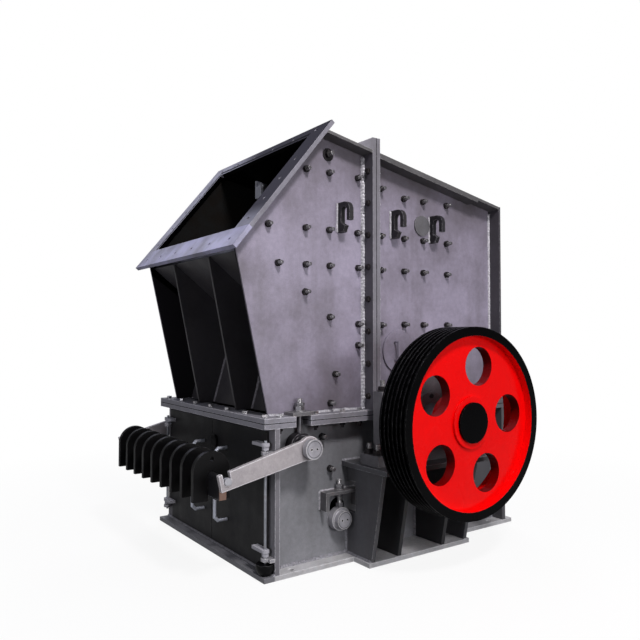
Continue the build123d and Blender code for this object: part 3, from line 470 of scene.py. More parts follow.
def front_face_shade(shader):
    """1 on the faces that look to the feed end, which are painted dark as shade."""
    return shader.below(apart(shader, shader.facing)["X"], -0.5)


# Finishes

def paint(name, colour, tint, rough=(0.42, 0.6), metallic=0.0, grain=0.10, dirt=0.25,
          wear=0.5, wear_and_glint_colour=(0.42, 0.41, 0.43), coat=0.0, bevel=0.003, wave=0.004,
          specular=0.5, edge=0.006, chip=(0.40, 0.62), patches=(), matt_patches=()):
    """Brushed or sprayed paint: blotches, fine grain, run marks, dust, and worn edges that are partly
    painted highlights.
    """
    shader = Shader(name)
    blotch = shader.span(shader.noise(2.6, 6.0), 0.35, 0.65)
    result = colour_mix(shader, blotch, colour, tint)
    mottle = shader.span(shader.noise(34.0, 4.0), 0.3, 0.7, 1.0 - 0.9 * grain, 1.0 + 0.9 * grain)
    result = colour_mix(shader, 1.0, result, grey(shader, mottle), "MULTIPLY")
    speckle = shader.span(shader.noise(210.0, 3.0), 0.3, 0.7, 1.0 - grain, 1.0 + grain)
    result = colour_mix(shader, 1.0, result, grey(shader, speckle), "MULTIPLY")
    streak = shader.noise(9.0, 5.0, (1.0, 1.0, 0.09))
    streak = shader.span(streak, 0.46, 0.74, 0.0, dirt)
    result = colour_mix(shader, streak, result, (0.05, 0.042, 0.036))
    # Worn edges: chipped paint, and where the wear colour is light also a painted highlight along the
    # edges
    chips = shader.span(shader.noise(42.0, 5.0), *chip)
    worn = shader.maths("MULTIPLY", shader.edges(edge), chips)
    worn = shader.maths("MULTIPLY", worn, wear)
    result = colour_mix(shader, worn, result, wear_and_glint_colour)
    # Patches: the paint's own tones, and painted shade, shadow and reflection
    for share, shade in patches:
        result = colour_mix(shader, share(shader), result, shade)
    roughness = shader.span(shader.noise(7.0, 6.0), 0.3, 0.7, *rough)
    metal = metallic
    # Matt patches: black open seams and painted shade, with their reflection taken away
    for share, shade in matt_patches:
        here = share(shader)
        result = colour_mix(shader, here, result, shade)
        roughness = shader.maths("MAXIMUM", roughness, shader.maths("MULTIPLY", here, 0.8))
        metal = shader.maths("MAXIMUM", metal, here)
    shader.put("Base Color", result)
    shader.put("Roughness", roughness)
    shader.put("Metallic", metal)
    shader.put("Specular IOR Level", specular)
    shader.put("Coat Weight", coat)
    shader.put("Coat Roughness", 0.08)
    rolled = shader.bump(shader.noise(3.5, 2.0), wave, 0.5, shader.bevel(bevel))
    skin = shader.bump(shader.noise(170.0, 3.0), 0.0006, 0.35, rolled)
    shader.put("Normal", skin)
    return shader.material


def steel(name, colour, rough=(0.25, 0.45), rust=0.25, brush=(1.0, 1.0, 1.0), metallic=0.9,
          edge=0.004, edge_glint=0.5, patches=()):
    """Machined or plated steel with fine brush lines, stains, a little rust and painted glints on its
    edges.
    """
    shader = Shader(name)
    lines = shader.noise(160.0, 3.0, brush)
    stain = shader.noise(18.0, 6.0)
    result = colour_mix(shader, shader.span(stain, 0.3, 0.7), colour, dimmed(colour, 0.62))
    scratch = shader.span(lines, 0.3, 0.7, 0.0, 0.35)
    result = colour_mix(shader, scratch, result, dimmed(colour, 0.5))
    patch = shader.span(shader.noise(31.0, 6.0), 0.56, 0.68, 0.0, rust)
    result = colour_mix(shader, patch, result, (0.16, 0.07, 0.035))
    # Painted glint along the edges
    bright = shader.maths("MULTIPLY", shader.edges(edge), edge_glint)
    result = colour_mix(shader, bright, result, (0.8, 0.79, 0.78))
    for share, shade in patches:
        result = colour_mix(shader, share(shader), result, shade)
    shader.put("Base Color", result)
    shader.put("Metallic", metallic)
    shader.put("Roughness", shader.span(lines, 0.2, 0.8, *rough))
    skin = shader.bump(lines, 0.0004, 0.4, shader.bevel(0.0015))
    shader.put("Normal", skin)
    return shader.material


def rough_iron(name, colour, rust_colour, rust=0.6):
    """Cast iron that stones have scoured: rusty hollows and pits."""
    shader = Shader(name)
    patch = shader.span(shader.noise(9.0, 8.0), 0.4, 0.62, 0.0, rust)
    result = colour_mix(shader, patch, colour, rust_colour)
    fine = shader.span(shader.noise(120.0, 4.0), 0.3, 0.7, 0.0, 0.5)
    result = colour_mix(shader, fine, result, dimmed(colour, 0.5))
    shader.put("Base Color", result)
    shader.put("Specular IOR Level", 0.1)
    shader.put("Roughness", shader.span(patch, 0.0, rust, 0.7, 0.95))
    pits = shader.bump(shader.noise(60.0, 6.0), 0.003, 0.6, shader.bevel(0.004))
    shader.put("Normal", pits)
    return shader.material


def weld_metal(name, colour):
    """Weld bead under thin paint, with faint spatter and heat tint."""
    shader = Shader(name)
    spatter = shader.span(shader.noise(90.0, 3.0), 0.35, 0.65)
    result = colour_mix(shader, spatter, dimmed(colour, 0.5), colour)
    heat = shader.span(shader.noise(4.0, 4.0), 0.45, 0.7, 0.0, 0.2)
    result = colour_mix(shader, heat, result, dimmed(colour, 0.6))
    shader.put("Base Color", result)
    shader.put("Metallic", 0.25)
    shader.put("Roughness", shader.span(spatter, 0.0, 1.0, 0.60, 0.45))
    bumps = shader.bump(shader.noise(110.0, 3.0), 0.0012, 0.5)
    shader.put("Normal", bumps)
    return shader.material


# Near black for the open seams, and painted shade inside the casing and at the feed mouth
SEAM_AND_SHADE_BLACK = (0.0012, 0.0012, 0.0014)
STEEL_GREY = (0.62, 0.61, 0.65)
# Casing paint, with painted shade below the roof, above the middle flange, inside the casing and in
# the recess
casing_paint = paint(
    "casing_paint", (0.295, 0.265, 0.345), (0.172, 0.152, 0.192),
    patches=[(wall_shade, (0.055, 0.046, 0.050))],
    matt_patches=[(casing_inside_shade, SEAM_AND_SHADE_BLACK), (recess_side_shade, (0.024, 0.022, 0.026))],
)
# Lower casing paint, with the pulley's painted shadow and painted shade inside the casing
lower_paint = paint(
    "lower_paint", (0.235, 0.236, 0.255), (0.180, 0.182, 0.195),
    patches=[(pulley_shadow, (0.045, 0.043, 0.048))], matt_patches=[(casing_inside_shade, SEAM_AND_SHADE_BLACK)],
)
# Split flange paint, with painted shade on faces toward the feed end; its light worn edges are partly
# painted highlights
flange_paint = paint(
    "flange_paint", (0.20, 0.192, 0.222), (0.145, 0.14, 0.158), wear=0.8, wear_and_glint_colour=STEEL_GREY,
    edge=0.006, patches=[(front_face_shade, (0.062, 0.058, 0.070))], matt_patches=[(split_seam, SEAM_AND_SHADE_BLACK)],
)
# Painted shade inside the casing
roof_paint = paint(
    "roof_paint", (0.092, 0.088, 0.092), (0.066, 0.064, 0.066), wear=0.8,
    wear_and_glint_colour=(0.34, 0.33, 0.33), matt_patches=[(casing_inside_shade, SEAM_AND_SHADE_BLACK)],
)
# Middle flange paint, with the pulley's painted shadow; its near-white worn edges are partly painted
# highlights
joint_paint = paint(
    "joint_paint", (0.24, 0.235, 0.27), (0.175, 0.17, 0.19), wear=1.0, wear_and_glint_colour=(0.80, 0.79, 0.84),
    edge=0.007, chip=(0.30, 0.55), patches=[(pulley_shadow, (0.07, 0.067, 0.075))],
    matt_patches=[(flange_seam, SEAM_AND_SHADE_BLACK)],
)
# Painted shade: the rear flange in near-black paint
rear_shade_paint = paint("rear_shade_paint", (0.050, 0.046, 0.056), (0.035, 0.033, 0.039), wear=0.6)
# Base paint, with painted shade in front of the doors; its light worn edges are partly painted
# highlights
base_paint = paint(
    "base_paint", (0.56, 0.555, 0.57), (0.44, 0.435, 0.44), wear=1.0, wear_and_glint_colour=(0.80, 0.80, 0.82),
    edge=0.008, chip=(0.3, 0.55), patches=[(front_ledge_shade, (0.105, 0.105, 0.12))],
)
frame_paint = paint(
    "frame_paint", (0.19, 0.185, 0.205), (0.125, 0.12, 0.135), wear=1.0, wear_and_glint_colour=STEEL_GREY,
    edge=0.007, chip=(0.3, 0.55),
)
# Painted shade: the front wall, chute floor and ribs of the recess in dark paint
recess_shade_paint = paint(
    "recess_shade_paint", (0.042, 0.039, 0.045), (0.024, 0.022, 0.026), wear=0.3,
    wear_and_glint_colour=(0.14, 0.135, 0.145),
)
# Painted shade: the doors in near-black paint, with their hinge lugs pale
door_shade_paint = paint(
    "door_shade_paint", (0.009, 0.009, 0.0105), (0.006, 0.006, 0.007), wear=0.3,
    wear_and_glint_colour=(0.13, 0.13, 0.14), specular=0.2, dirt=0.12,
    patches=[(proud_of_door, (0.40, 0.395, 0.43))],
)
# Stand paint, with painted black shade between the gussets
stand_paint = paint(
    "stand_paint", (0.092, 0.092, 0.102), (0.056, 0.056, 0.062), wear=0.9,
    wear_and_glint_colour=(0.46, 0.46, 0.49), edge=0.006, chip=(0.35, 0.6),
    patches=[(stand_bay_shade, (0.006, 0.006, 0.007))],
)
housing_paint = paint(
    "housing_paint", (0.135, 0.132, 0.145), (0.09, 0.088, 0.095), wear=0.5, rough=(0.4, 0.55),
    grain=0.14,
)
# Arm paint, whose near-white worn edges are partly painted highlights
arm_paint = paint(
    "arm_paint", (0.43, 0.395, 0.405), (0.35, 0.325, 0.337), rough=(0.36, 0.5), dirt=0.12, wear=1.0,
    wear_and_glint_colour=(0.92, 0.90, 0.93), metallic=0.2, edge=0.009, chip=(0.10, 0.32),
)
black_paint = paint(
    "black_paint", (0.0032, 0.003, 0.0034), (0.002, 0.002, 0.0022), rough=(0.34, 0.5), wear=0.5,
    wear_and_glint_colour=(0.16, 0.155, 0.165), dirt=0.02, specular=0.13, edge=0.003,
)
# Black rim paint, whose light worn edges are partly painted highlights
rim_paint = paint(
    "rim_paint", (0.0012, 0.0012, 0.0014), (0.0008, 0.0008, 0.0010), rough=(0.22, 0.32), wear=0.35,
    wear_and_glint_colour=(0.22, 0.22, 0.23), dirt=0.0, wave=0.001, grain=0.02, specular=0.03, edge=0.0025,
    coat=0.05, patches=[(rim_hollow, (0.86, 0.0015, 0.002))],
)
hub_paint = paint(
    "hub_paint", (0.0014, 0.0014, 0.0016), (0.0010, 0.0010, 0.0012), rough=(0.22, 0.32), wear=0.2,
    wear_and_glint_colour=(0.10, 0.10, 0.10), dirt=0.0, wave=0.001, grain=0.02, specular=0.03, edge=0.003,
    coat=0.03,
)
# Red web, with painted shade in its five holes
red_gloss = paint(
    "red_gloss", (0.80, 0.0010, 0.0014), (0.71, 0.0009, 0.0013), rough=(0.22, 0.32), grain=0.03,
    dirt=0.02, wear=0.0, coat=0.08, wave=0.0015, specular=0.10,
    patches=[(hole_wall_shade, (0.02, 0.0002, 0.0002))],
)
# Feed flange paint: a painted bluish reflection below the opening, painted shade on the near face,
# and black painted shade at the mouth's edge and step
feed_paint = paint(
    "feed_paint", (0.22, 0.212, 0.25), (0.165, 0.16, 0.185), wear=0.9, rough=(0.45, 0.60),
    wear_and_glint_colour=(0.5, 0.49, 0.55), specular=0.3, edge=0.003,
    patches=[(low_strip_sheen, (0.46, 0.45, 0.66))],
    matt_patches=[(near_shade, (0.055, 0.052, 0.070)), (mouth_edge_shade, SEAM_AND_SHADE_BLACK), (mouth_step_shade, SEAM_AND_SHADE_BLACK)],
)
hook_paint = paint(
    "hook_paint", (0.024, 0.022, 0.027), (0.014, 0.013, 0.016), wear=0.9,
    wear_and_glint_colour=(0.5, 0.49, 0.52), edge=0.004, specular=0.25,
)
# Painted shade: nuts and bolt heads in near-black paint
bolt_shade_paint = paint(
    "bolt_shade_paint", (0.014, 0.011, 0.013), (0.008, 0.007, 0.008), wear=0.35,
    wear_and_glint_colour=(0.34, 0.32, 0.33), bevel=0.001, edge=0.0015, specular=0.2,
)
bar_steel = paint(
    "bar_steel", (0.018, 0.018, 0.022), (0.012, 0.012, 0.013), wear=1.0, rough=(0.3, 0.5),
    wear_and_glint_colour=(0.45, 0.46, 0.5), metallic=0.4,
    patches=[(rusty_end, (0.33, 0.20, 0.15)), (bar_pin_end, (0.40, 0.40, 0.43))],
)
bare_steel = steel("bare_steel", (0.58, 0.61, 0.70), brush=(0.2, 1.0, 1.0), metallic=0.4)
zinc_steel = steel("zinc_steel", (0.82, 0.84, 0.95), metallic=0.1, rust=0.1, edge_glint=1.0)
eye_steel = steel(
    "eye_steel", (0.24, 0.235, 0.255), rough=(0.22, 0.4), metallic=0.7, rust=0.15, edge=0.002,
    edge_glint=1.0,
)
rod_steel = steel("rod_steel", (0.46, 0.48, 0.53), brush=(1.0, 1.0, 0.1), rust=0.4)
# Cap steel, with painted shade in the blind holes
cap_steel = steel(
    "cap_steel", (0.50, 0.49, 0.53), rough=(0.4, 0.55), metallic=0.45, rust=0.12, edge=0.006,
    edge_glint=1.0, patches=[(cap_hole_shade, (0.02, 0.02, 0.02)), (cap_ring, (0.10, 0.10, 0.11))],
)
bolt_steel = steel("bolt_steel", (0.55, 0.54, 0.56), rough=(0.22, 0.4), rust=0.3)
stud_steel = steel(
    "stud_steel", (0.13, 0.125, 0.135), rough=(0.3, 0.5), rust=0.3, metallic=0.5, edge=0.0012,
    edge_glint=0.9,
)
bracket_steel = steel(
    "bracket_steel", (0.17, 0.165, 0.175), rough=(0.4, 0.6), metallic=0.3, edge=0.003, edge_glint=0.8,
)
rotor_iron = rough_iron("rotor_iron", (0.030, 0.028, 0.027), (0.060, 0.030, 0.018))
# Near black: the iron's own dark and painted shade inside the casing
liner_iron = rough_iron("liner_iron", (0.006, 0.006, 0.006), (0.010, 0.007, 0.005))
weld_bead = weld_metal("weld_bead", (0.56, 0.55, 0.59))
painted_weld = weld_metal("painted_weld", (0.30, 0.295, 0.325))
rib_weld = weld_metal("rib_weld", (0.13, 0.12, 0.14))

FINISHES = {
    lower_paint: ("lower_side_walls", "lower_rear_wall"),
    feed_paint: ("feed_flange",),
    casing_paint: ("front_side_walls", "rear_side_walls", "upper_rear_wall",
                   "inspection_covers"),
    roof_paint: ("front_roof", "rear_roof"),
    flange_paint: ("split_flange_front", "split_flange_rear"),
    joint_paint: ("lower_mid_flange", "upper_mid_flange"),
    rear_shade_paint: ("rear_flange",),
    base_paint: ("base_frame",),
    frame_paint: ("lower_front_frame",),
    recess_shade_paint: ("front_wall", "chute_floor", "front_ribs"),
    door_shade_paint: ("door_near", "door_far"),
    stand_paint: ("bearing_stands",),
    housing_paint: ("bearing_housings", "shaft_seals", "apron_shaft"),
    arm_paint: ("lever_arms",),
    black_paint: ("weight_plates", "hinge_cups", "door_latch"),
    rim_paint: ("pulley_rim",),
    hub_paint: ("pulley_hub_cap",),
    red_gloss: ("pulley_web",),
    hook_paint: ("lifting_hooks", "cross_shaft_bushes"),
    bar_steel: ("weight_bar",),
    bare_steel: ("door_near_handle", "door_far_handle", "lever_cross_shaft"),
    rod_steel: ("door_hinge_rods", "rotor_shaft"),
    cap_steel: ("lever_shaft_caps", "hinge_lugs", "adjusting_pins"),
    eye_steel: ("pivot_eyebolts",),
    bracket_steel: ("adjusting_brackets", "eyebolt_bridges"),
    rotor_iron: ("rotor_body", "impact_apron"),
    liner_iron: ("blow_bars", "side_liners"),
}
for material, names in FINISHES.items():
    for name in names:
        mesh = nodes[name].data
        mesh.materials.clear()
        mesh.materials.append(material)


# Small pieces

# Nuts, heads, washers and threads as shares of a thread's size
NUT_ACROSS = 1.55
NUT_HEIGHT = 0.80
HEAD_HEIGHT = 0.65
STUD_WASHER = (1.05, 0.16)
HEAD_WASHER = (1.0, 0.15)
THREAD_PITCH = 0.11
CHAMFER = 0.12
THREAD_ROOT = 0.93
THREAD_TIP = 0.80


def turned(bm, place, out, profile, sides=16, turn=0.0):
    """Solid of rings: profile lists (radius, distance along out) from foot to head."""
    spin = Vector(out).to_track_quat("Z", "Y").to_matrix().to_4x4()
    matrix = Matrix.Translation(Vector(place)) @ spin @ Matrix.Rotation(turn, 4, "Z")
    rings = []
    for radius, along in profile:
        ring = []
        for i in range(sides):
            angle = 2 * pi * i / sides
            point = Vector((radius * cos(angle), radius * sin(angle), along))
            ring.append(bm.verts.new(matrix @ point))
        rings.append(ring)
    skin_rings(bm, rings)


def skin_rings(bm, rings):
    """Faces from ring to ring, with both ends closed."""
    sides = len(rings[0])
    for low, high in zip(rings, rings[1:]):
        for i in range(sides):
            j = (i + 1) % sides
            bm.faces.new((low[i], low[j], high[j], high[i]))
    bm.faces.new(tuple(reversed(rings[0])))
    bm.faces.new(rings[-1])


def hexagon(bm, place, out, across, height, start=0.0, turn=0.0):
    """Hexagon nut or head with chamfered corners."""
    radius = across / 2 / cos(pi / 6)
    cut = CHAMFER * radius
    end = start + height
    profile = [(radius - cut, start), (radius, start + cut / 2), (radius, end - cut / 2),
               (radius - cut, end)]
    turned(bm, place, out, profile, 6, turn)


def washer(bm, place, out, radius, thick, start=0.0):
    """Round washer with a chamfered outer edge."""
    profile = [(radius, start), (radius, start + 0.8 * thick), (radius - 0.2 * thick, start + thick)]
    turned(bm, place, out, profile, 24)


def thread(bm, place, out, radius, start, end, pitch):
    """Threaded length as a row of ridges, with a chamfered end."""
    count = max(2, round((end - start) / pitch))
    step = (end - start) / count
    profile = []
    for i in range(count):
        profile.append((radius * THREAD_ROOT, start + i * step))
        profile.append((radius, start + (i + 0.5) * step))
    profile.append((radius * THREAD_ROOT, end))
    profile.append((radius * THREAD_TIP, end + 0.25 * pitch))
    turned(bm, place, out, profile, 14)


def stud_and_nut(painted, bright, place, out, size, tip, disc=1.0, turn=0.0):
    """Washer and nut in one mesh, bright thread in another. The tip is the thread past the nut."""
    radius, thick = STUD_WASHER
    washer(painted, place, out, radius * size * disc, thick * size)
    hexagon(painted, place, out, NUT_ACROSS * size, NUT_HEIGHT * size, thick * size, turn)
    nut_top = thick * size + NUT_HEIGHT * size + 0.001
    thread(bright, place, out, size / 2, nut_top - 0.002, nut_top + tip, THREAD_PITCH * size)


def bolt_head(bm, place, out, size, turn=0.0):
    """Washer and hexagon head of a bolt."""
    radius, thick = HEAD_WASHER
    washer(bm, place, out, radius * size, thick * size)
    hexagon(bm, place, out, NUT_ACROSS * size, HEAD_HEIGHT * size, thick * size, turn)


def finish_piece(name, bm, body, material, smooth=32.0):
    """Turn a bmesh into a piece that rides on a body."""
    bmesh.ops.recalc_face_normals(bm, faces=bm.faces)
    mesh = bpy.data.meshes.new(name)
    bm.to_mesh(mesh)
    bm.free()
    mesh.shade_smooth()
    mesh.set_sharp_from_angle(angle=radians(smooth))
    mesh.materials.append(material)
    piece = bpy.data.objects.new(name, mesh)
    scene.collection.objects.link(piece)
    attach(piece, body)


def block(bm, low, high):
    """Box between two corners."""
    corners = [bm.verts.new((x, y, z)) for x in (low[0], high[0]) for y in (low[1], high[1])
               for z in (low[2], high[2])]
    for face in ((0, 1, 3, 2), (4, 6, 7, 5), (0, 4, 5, 1), (2, 3, 7, 6), (0, 2, 6, 4), (1, 5, 7, 3)):
        bm.faces.new([corners[i] for i in face])


def steps(first, last, count):
    """Evenly spaced values from the first to the last."""
    return [first + (last - first) * i / (count - 1) for i in range(count)]


# Liner nuts on the side walls as (X, Z), where the photo shows them
FRONT_WALL_STUDS = (
    (-0.678, 2.248), (-0.516, 2.248), (-0.302, 2.248),
    (-0.930, 1.908), (-0.682, 1.910), (-0.516, 1.912), (-0.306, 1.912),
    (-0.866, 1.698), (-0.680, 1.700), (-0.512, 1.702), (-0.300, 1.702),
    (-0.684, 1.544), (-0.511, 1.403), (-0.299, 1.364), (-0.301, 1.238),
    (-0.470, 1.071), (-0.506, 0.904),
)
REAR_EDGE_STUDS = ((-0.120, 2.205), (-0.120, 1.911), (-0.120, 1.699), (-0.120, 1.360))
LOWER_STUDS = ((-0.567, 0.717), (-0.510, 0.528))
REAR_COLUMNS = (0.074, 0.242, 0.459)
REAR_ROWS = (2.167, 1.911, 1.703, 1.365)
LARGE_STUD = (-0.521, 2.356)
LARGE_SHARE = 1.2
LARGE_DISC = 1.35
LINER_STUD = 0.0225
LINER_DISC = 0.82
LINER_TIP = 0.026

# The guessed grid of liner nuts on the rear wall, as Y and Z
END_COLUMNS = steps(-0.36, 0.36, 4)
END_ROWS = steps(1.15, 1.95, 4)


def wall_studs():
    """Liner nuts and their stud ends on the side walls and the rear wall."""
    painted = bmesh.new()
    bright = bmesh.new()
    places = list(FRONT_WALL_STUDS + REAR_EDGE_STUDS + LOWER_STUDS)
    places += [(x, z) for x in REAR_COLUMNS for z in REAR_ROWS]
    for side in SIDES:
        for i, (x, z) in enumerate(places):
            turn = 0.9 * ((i * 7) % 5)
            tip = LINER_TIP + 0.004 * (i % 3 - 1)
            stud_and_nut(painted, bright, (x, side * wall_y, z), side * Y, LINER_STUD,
                         tip, LINER_DISC, turn)
        x, z = LARGE_STUD
        stud_and_nut(painted, bright, (x, side * wall_y, z), side * Y, LARGE_SHARE * LINER_STUD,
                     LINER_TIP, LARGE_DISC)
    for y in END_COLUMNS:
        for z in END_ROWS:
            stud_and_nut(painted, bright, (rear_wall_x, y, z), X, LINER_STUD, 0.0, turn=0.3 * z)
    finish_piece("liner_nuts", painted, "casing", bolt_shade_paint)
    finish_piece("liner_stud_ends", bright, "casing", stud_steel)


# Bolts of the flanges: their size, the thread past a nut, and the rows up the split, along its
# ridge and round the middle
FLANGE_BOLT = 0.020
UPPER_TIP = 0.010
UNDER_TIP = 0.012
FLANGE_BOLT_Y = (wall_y + flange_y) / 2 + 0.006
SPLIT_BOLTS = [0.935 + 0.193 * i for i in range(8)]
RIDGE_BOLT_Z = split_top - 0.042
RIDGE_BOLTS = steps(-0.50, 0.50, 5)
SIDE_BOLTS = (-0.880, -0.645, -0.455, -0.330, 0.250, 0.440, 0.630, 0.820)
END_BOLTS = steps(-0.655, 0.655, 7)
FRONT_BOLT_X = (wall_foot_x - flange_x) / 2
REAR_BOLT_X = flange_x - 0.034


def flange_bolts():
    """Bolts through the split flange and the middle flange."""
    heads = bmesh.new()
    bright = bmesh.new()
    for side in SIDES:
        y = side * FLANGE_BOLT_Y
        for i, z in enumerate(SPLIT_BOLTS):
            bolt_head(heads, (split_front, y, z), -X, FLANGE_BOLT, 0.5 * i)
            stud_and_nut(heads, bright, (split_rear, y, z), X, FLANGE_BOLT, UPPER_TIP,
                         turn=0.8 * i)
    for y in RIDGE_BOLTS:
        bolt_head(heads, (split_front, y, RIDGE_BOLT_Z), -X, FLANGE_BOLT, y)
        stud_and_nut(heads, bright, (split_rear, y, RIDGE_BOLT_Z), X, FLANGE_BOLT, UPPER_TIP)
    finish_piece("split_flange_bolts", heads, "casing", bolt_shade_paint)
    heads = bmesh.new()
    under = bmesh.new()
    for side in SIDES:
        y = side * FLANGE_BOLT_Y
        for i, x in enumerate(SIDE_BOLTS):
            bolt_head(heads, (x, y, flange_top), Z, FLANGE_BOLT, i)
            stud_and_nut(under, under, (x, y, flange_low), -Z, FLANGE_BOLT, UNDER_TIP, turn=i)
    for i, y in enumerate(END_BOLTS):
        bolt_head(heads, (FRONT_BOLT_X, y, flange_top), Z, FLANGE_BOLT, 0.7 * i)
        bolt_head(heads, (REAR_BOLT_X, y, flange_top), Z, FLANGE_BOLT, 0.7 * i)
        stud_and_nut(under, under, (REAR_BOLT_X, y, flange_low), -Z, FLANGE_BOLT, UNDER_TIP,
                     turn=i)
    finish_piece("mid_flange_bolts", heads, "casing", bolt_steel)
    finish_piece("mid_flange_nuts", under, "casing", bolt_shade_paint)
    finish_piece("flange_bolt_ends", bright, "casing", bolt_steel)


# Studs of the bearing housings, and the screws round their covers
HOUSING_STUD = 0.030
FOOT_TIP = 0.030
LUG_TIP = 0.034
FOOT_STUD_X = 0.352
FOOT_STUDS_Y = (0.795, 0.868)
FOOT_THICK = 0.060
LUG_STUD_X = 0.283
LUG_STUD_Y = 0.832
COVER_SCREW = 0.014
COVER_CIRCLE = 0.122
COVER_ANGLES = [radians(30 + 60 * i) for i in range(6)]


def housing_bolts():
    """Foot studs, lug studs and cover screws of the two bearing housings."""
    painted = bmesh.new()
    bright = bmesh.new()
    screws = bmesh.new()
    for side in SIDES:
        for end in SIDES:
            for y in FOOT_STUDS_Y:
                place = (end * FOOT_STUD_X, side * y, stand_top + FOOT_THICK)
                stud_and_nut(painted, bright, place, Z, HOUSING_STUD, FOOT_TIP, turn=y * 9)
            place = (end * LUG_STUD_X, side * LUG_STUD_Y, HOUSING_LUG_TOP)
            stud_and_nut(painted, bright, place, Z, HOUSING_STUD, LUG_TIP, turn=0.4)
        for angle in COVER_ANGLES:
            place = (COVER_CIRCLE * cos(angle), side * housing_y, shaft_z + COVER_CIRCLE * sin(angle))
            bolt_head(screws, place, side * Y, COVER_SCREW, angle)
    finish_piece("housing_nuts", painted, "casing", bolt_shade_paint)
    finish_piece("housing_stud_ends", bright, "casing", stud_steel)
    finish_piece("bearing_cover_screws", screws, "casing", bolt_shade_paint)


# Washers as (radius, thickness, start) and nuts as (width, height, start, turn): those of an
# eyebolt stand on its bridge, those of an adjusting stud are measured from the floor
EYE_WASHER = (0.032, 0.005)
EYE_NUTS = ((0.050, 0.024, 0.005, 0.2), (0.050, 0.018, 0.030, 0.6))
EYE_THREAD = 0.0150
PIN_THREAD = 0.0140
ROD_PITCH = 0.003
BRACKET_UNDER = bracket_high.z - BRACKET_THICK
PIN_WASHERS = ((0.030, 0.005, bracket_high.z), (0.026, 0.005, BRACKET_UNDER - 0.005))
PIN_NUTS = (
    (0.046, 0.026, bracket_high.z + 0.005, 0.3),
    (0.040, 0.021, PIN_EYE_TOP + 0.004, 0.9),
    (0.040, 0.018, BRACKET_UNDER - 0.023, 0.1),
)


def stud_nuts():
    """Nuts on the lever eyebolts and on the adjusting studs, with their threads."""
    nuts = bmesh.new()
    threads = bmesh.new()
    eye_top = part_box("pivot_eyebolts")[1].z
    pin_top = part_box("adjusting_pins")[1].z
    for side in SIDES:
        eye = (pivot_x, side * EYEBOLT_Y, bridge_top)
        washer(nuts, eye, Z, *EYE_WASHER)
        for nut in EYE_NUTS:
            hexagon(nuts, eye, Z, *nut)
        thread(threads, (pivot_x, side * EYEBOLT_Y, 0), Z, EYE_THREAD, bridge_top + 0.004,
               eye_top - 0.002, ROD_PITCH)
        foot = (PIN_X, side * PIN_STUD_Y, 0)
        for disc in PIN_WASHERS:
            washer(nuts, foot, Z, *disc)
        for nut in PIN_NUTS:
            hexagon(nuts, foot, Z, *nut)
        thread(threads, foot, Z, PIN_THREAD, PIN_EYE_TOP + 0.002, pin_top - 0.002, ROD_PITCH)
    finish_piece("stud_nuts", nuts, "casing", eye_steel)
    finish_piece("stud_threads", threads, "casing", eye_steel)


# Mouth bracket: X of its front plate, the plates' reach in Y, and drops below the roof
MOUTH_BRACKET_X = -0.398
MOUTH_FLAT_Y = (0.330, 0.400)
MOUTH_SIDE_Y = 0.414
MOUTH_THICK = 0.018
MOUTH_DEPTH = 0.075
MOUTH_DROP = (0.130, 0.048)
MOUTH_BOLT = (0.020, 0.036)


def mouth_bracket():
    """Angle bracket with its nut, hung from the roof inside the feed mouth."""
    plates = bmesh.new()
    x = MOUTH_BRACKET_X
    near, joint = MOUTH_FLAT_Y
    roof = ROOF_UNDER - ROOF_SLOPE * x
    foot = roof - MOUTH_DROP[0]
    block(plates, (x - MOUTH_THICK, near, foot), (x, joint, roof - MOUTH_DROP[1]))
    block(plates, (x - MOUTH_THICK, joint, foot), (x + MOUTH_DEPTH, MOUTH_SIDE_Y, roof + 0.001))
    bolt_x = x + MOUTH_BOLT[0]
    bolt_z = roof - MOUTH_BOLT[1]
    hexagon(plates, (bolt_x, joint, bolt_z), -Y, 0.040, 0.024)
    turned(plates, (bolt_x, joint - 0.024, bolt_z), -Y,
           [(0.011, 0.0), (0.011, 0.016), (0.009, 0.018)])
    finish_piece("mouth_bracket", plates, "casing", zinc_steel)


# Weld beads: their widths, and how unevenly the hand-laid ones run
SEAM_BEAD = 0.017
BASE_BEAD = 0.014
REAR_BASE_BEAD = 0.012
FOOT_BEAD = 0.011
FILLET_BEAD = 0.010
THIN_BEAD = 0.009
HOOK_BEAD = 0.008
BRACKET_BEAD = 0.007
EVEN = 0.12
FAIRLY_EVEN = 0.15
USUAL = 0.18
UNEVEN = 0.2
ROUGH = 0.3
WELD_ANGLE = 60.0

# Where the beads start and end: under the sloping roof, at the lever's eyebolt, at the shaft's
# housing, at the stand and its gussets, and at the ribs of the front recess
FRONT_SEAM_TOP = 2.383
SPLIT_SEAM_TOP = 2.370
REAR_SEAM_TOP = 2.16
EYEBOLT_GAP = (pivot_x - 0.085, pivot_x + 0.058)
HOUSING_HALF = 0.175
STAND_FOOT_HALF = 0.390
STAND_TOP_HALF = 0.418
END_GUSSET_X = 0.386
END_GUSSET_NOTCH = 0.270
END_GUSSET_FOOT = (0.640, 0.845)
INNER_GUSSET_X = (0.164, 0.190)
INNER_GUSSET_TOP = 0.535
HOOK_HALF = 0.015
RIB_FOOT = Vector((-0.818, 0, flange_top))
RIB_HEAD = Vector((-0.668, 0, 1.380))
RIB_PLACES = (-0.252, 0.252)
RIB_HALF = 0.008
BEAD_SHAPE = ((1.0, 0.0), (0.83, 0.34), (0.58, 0.58), (0.34, 0.83), (0.0, 1.0))


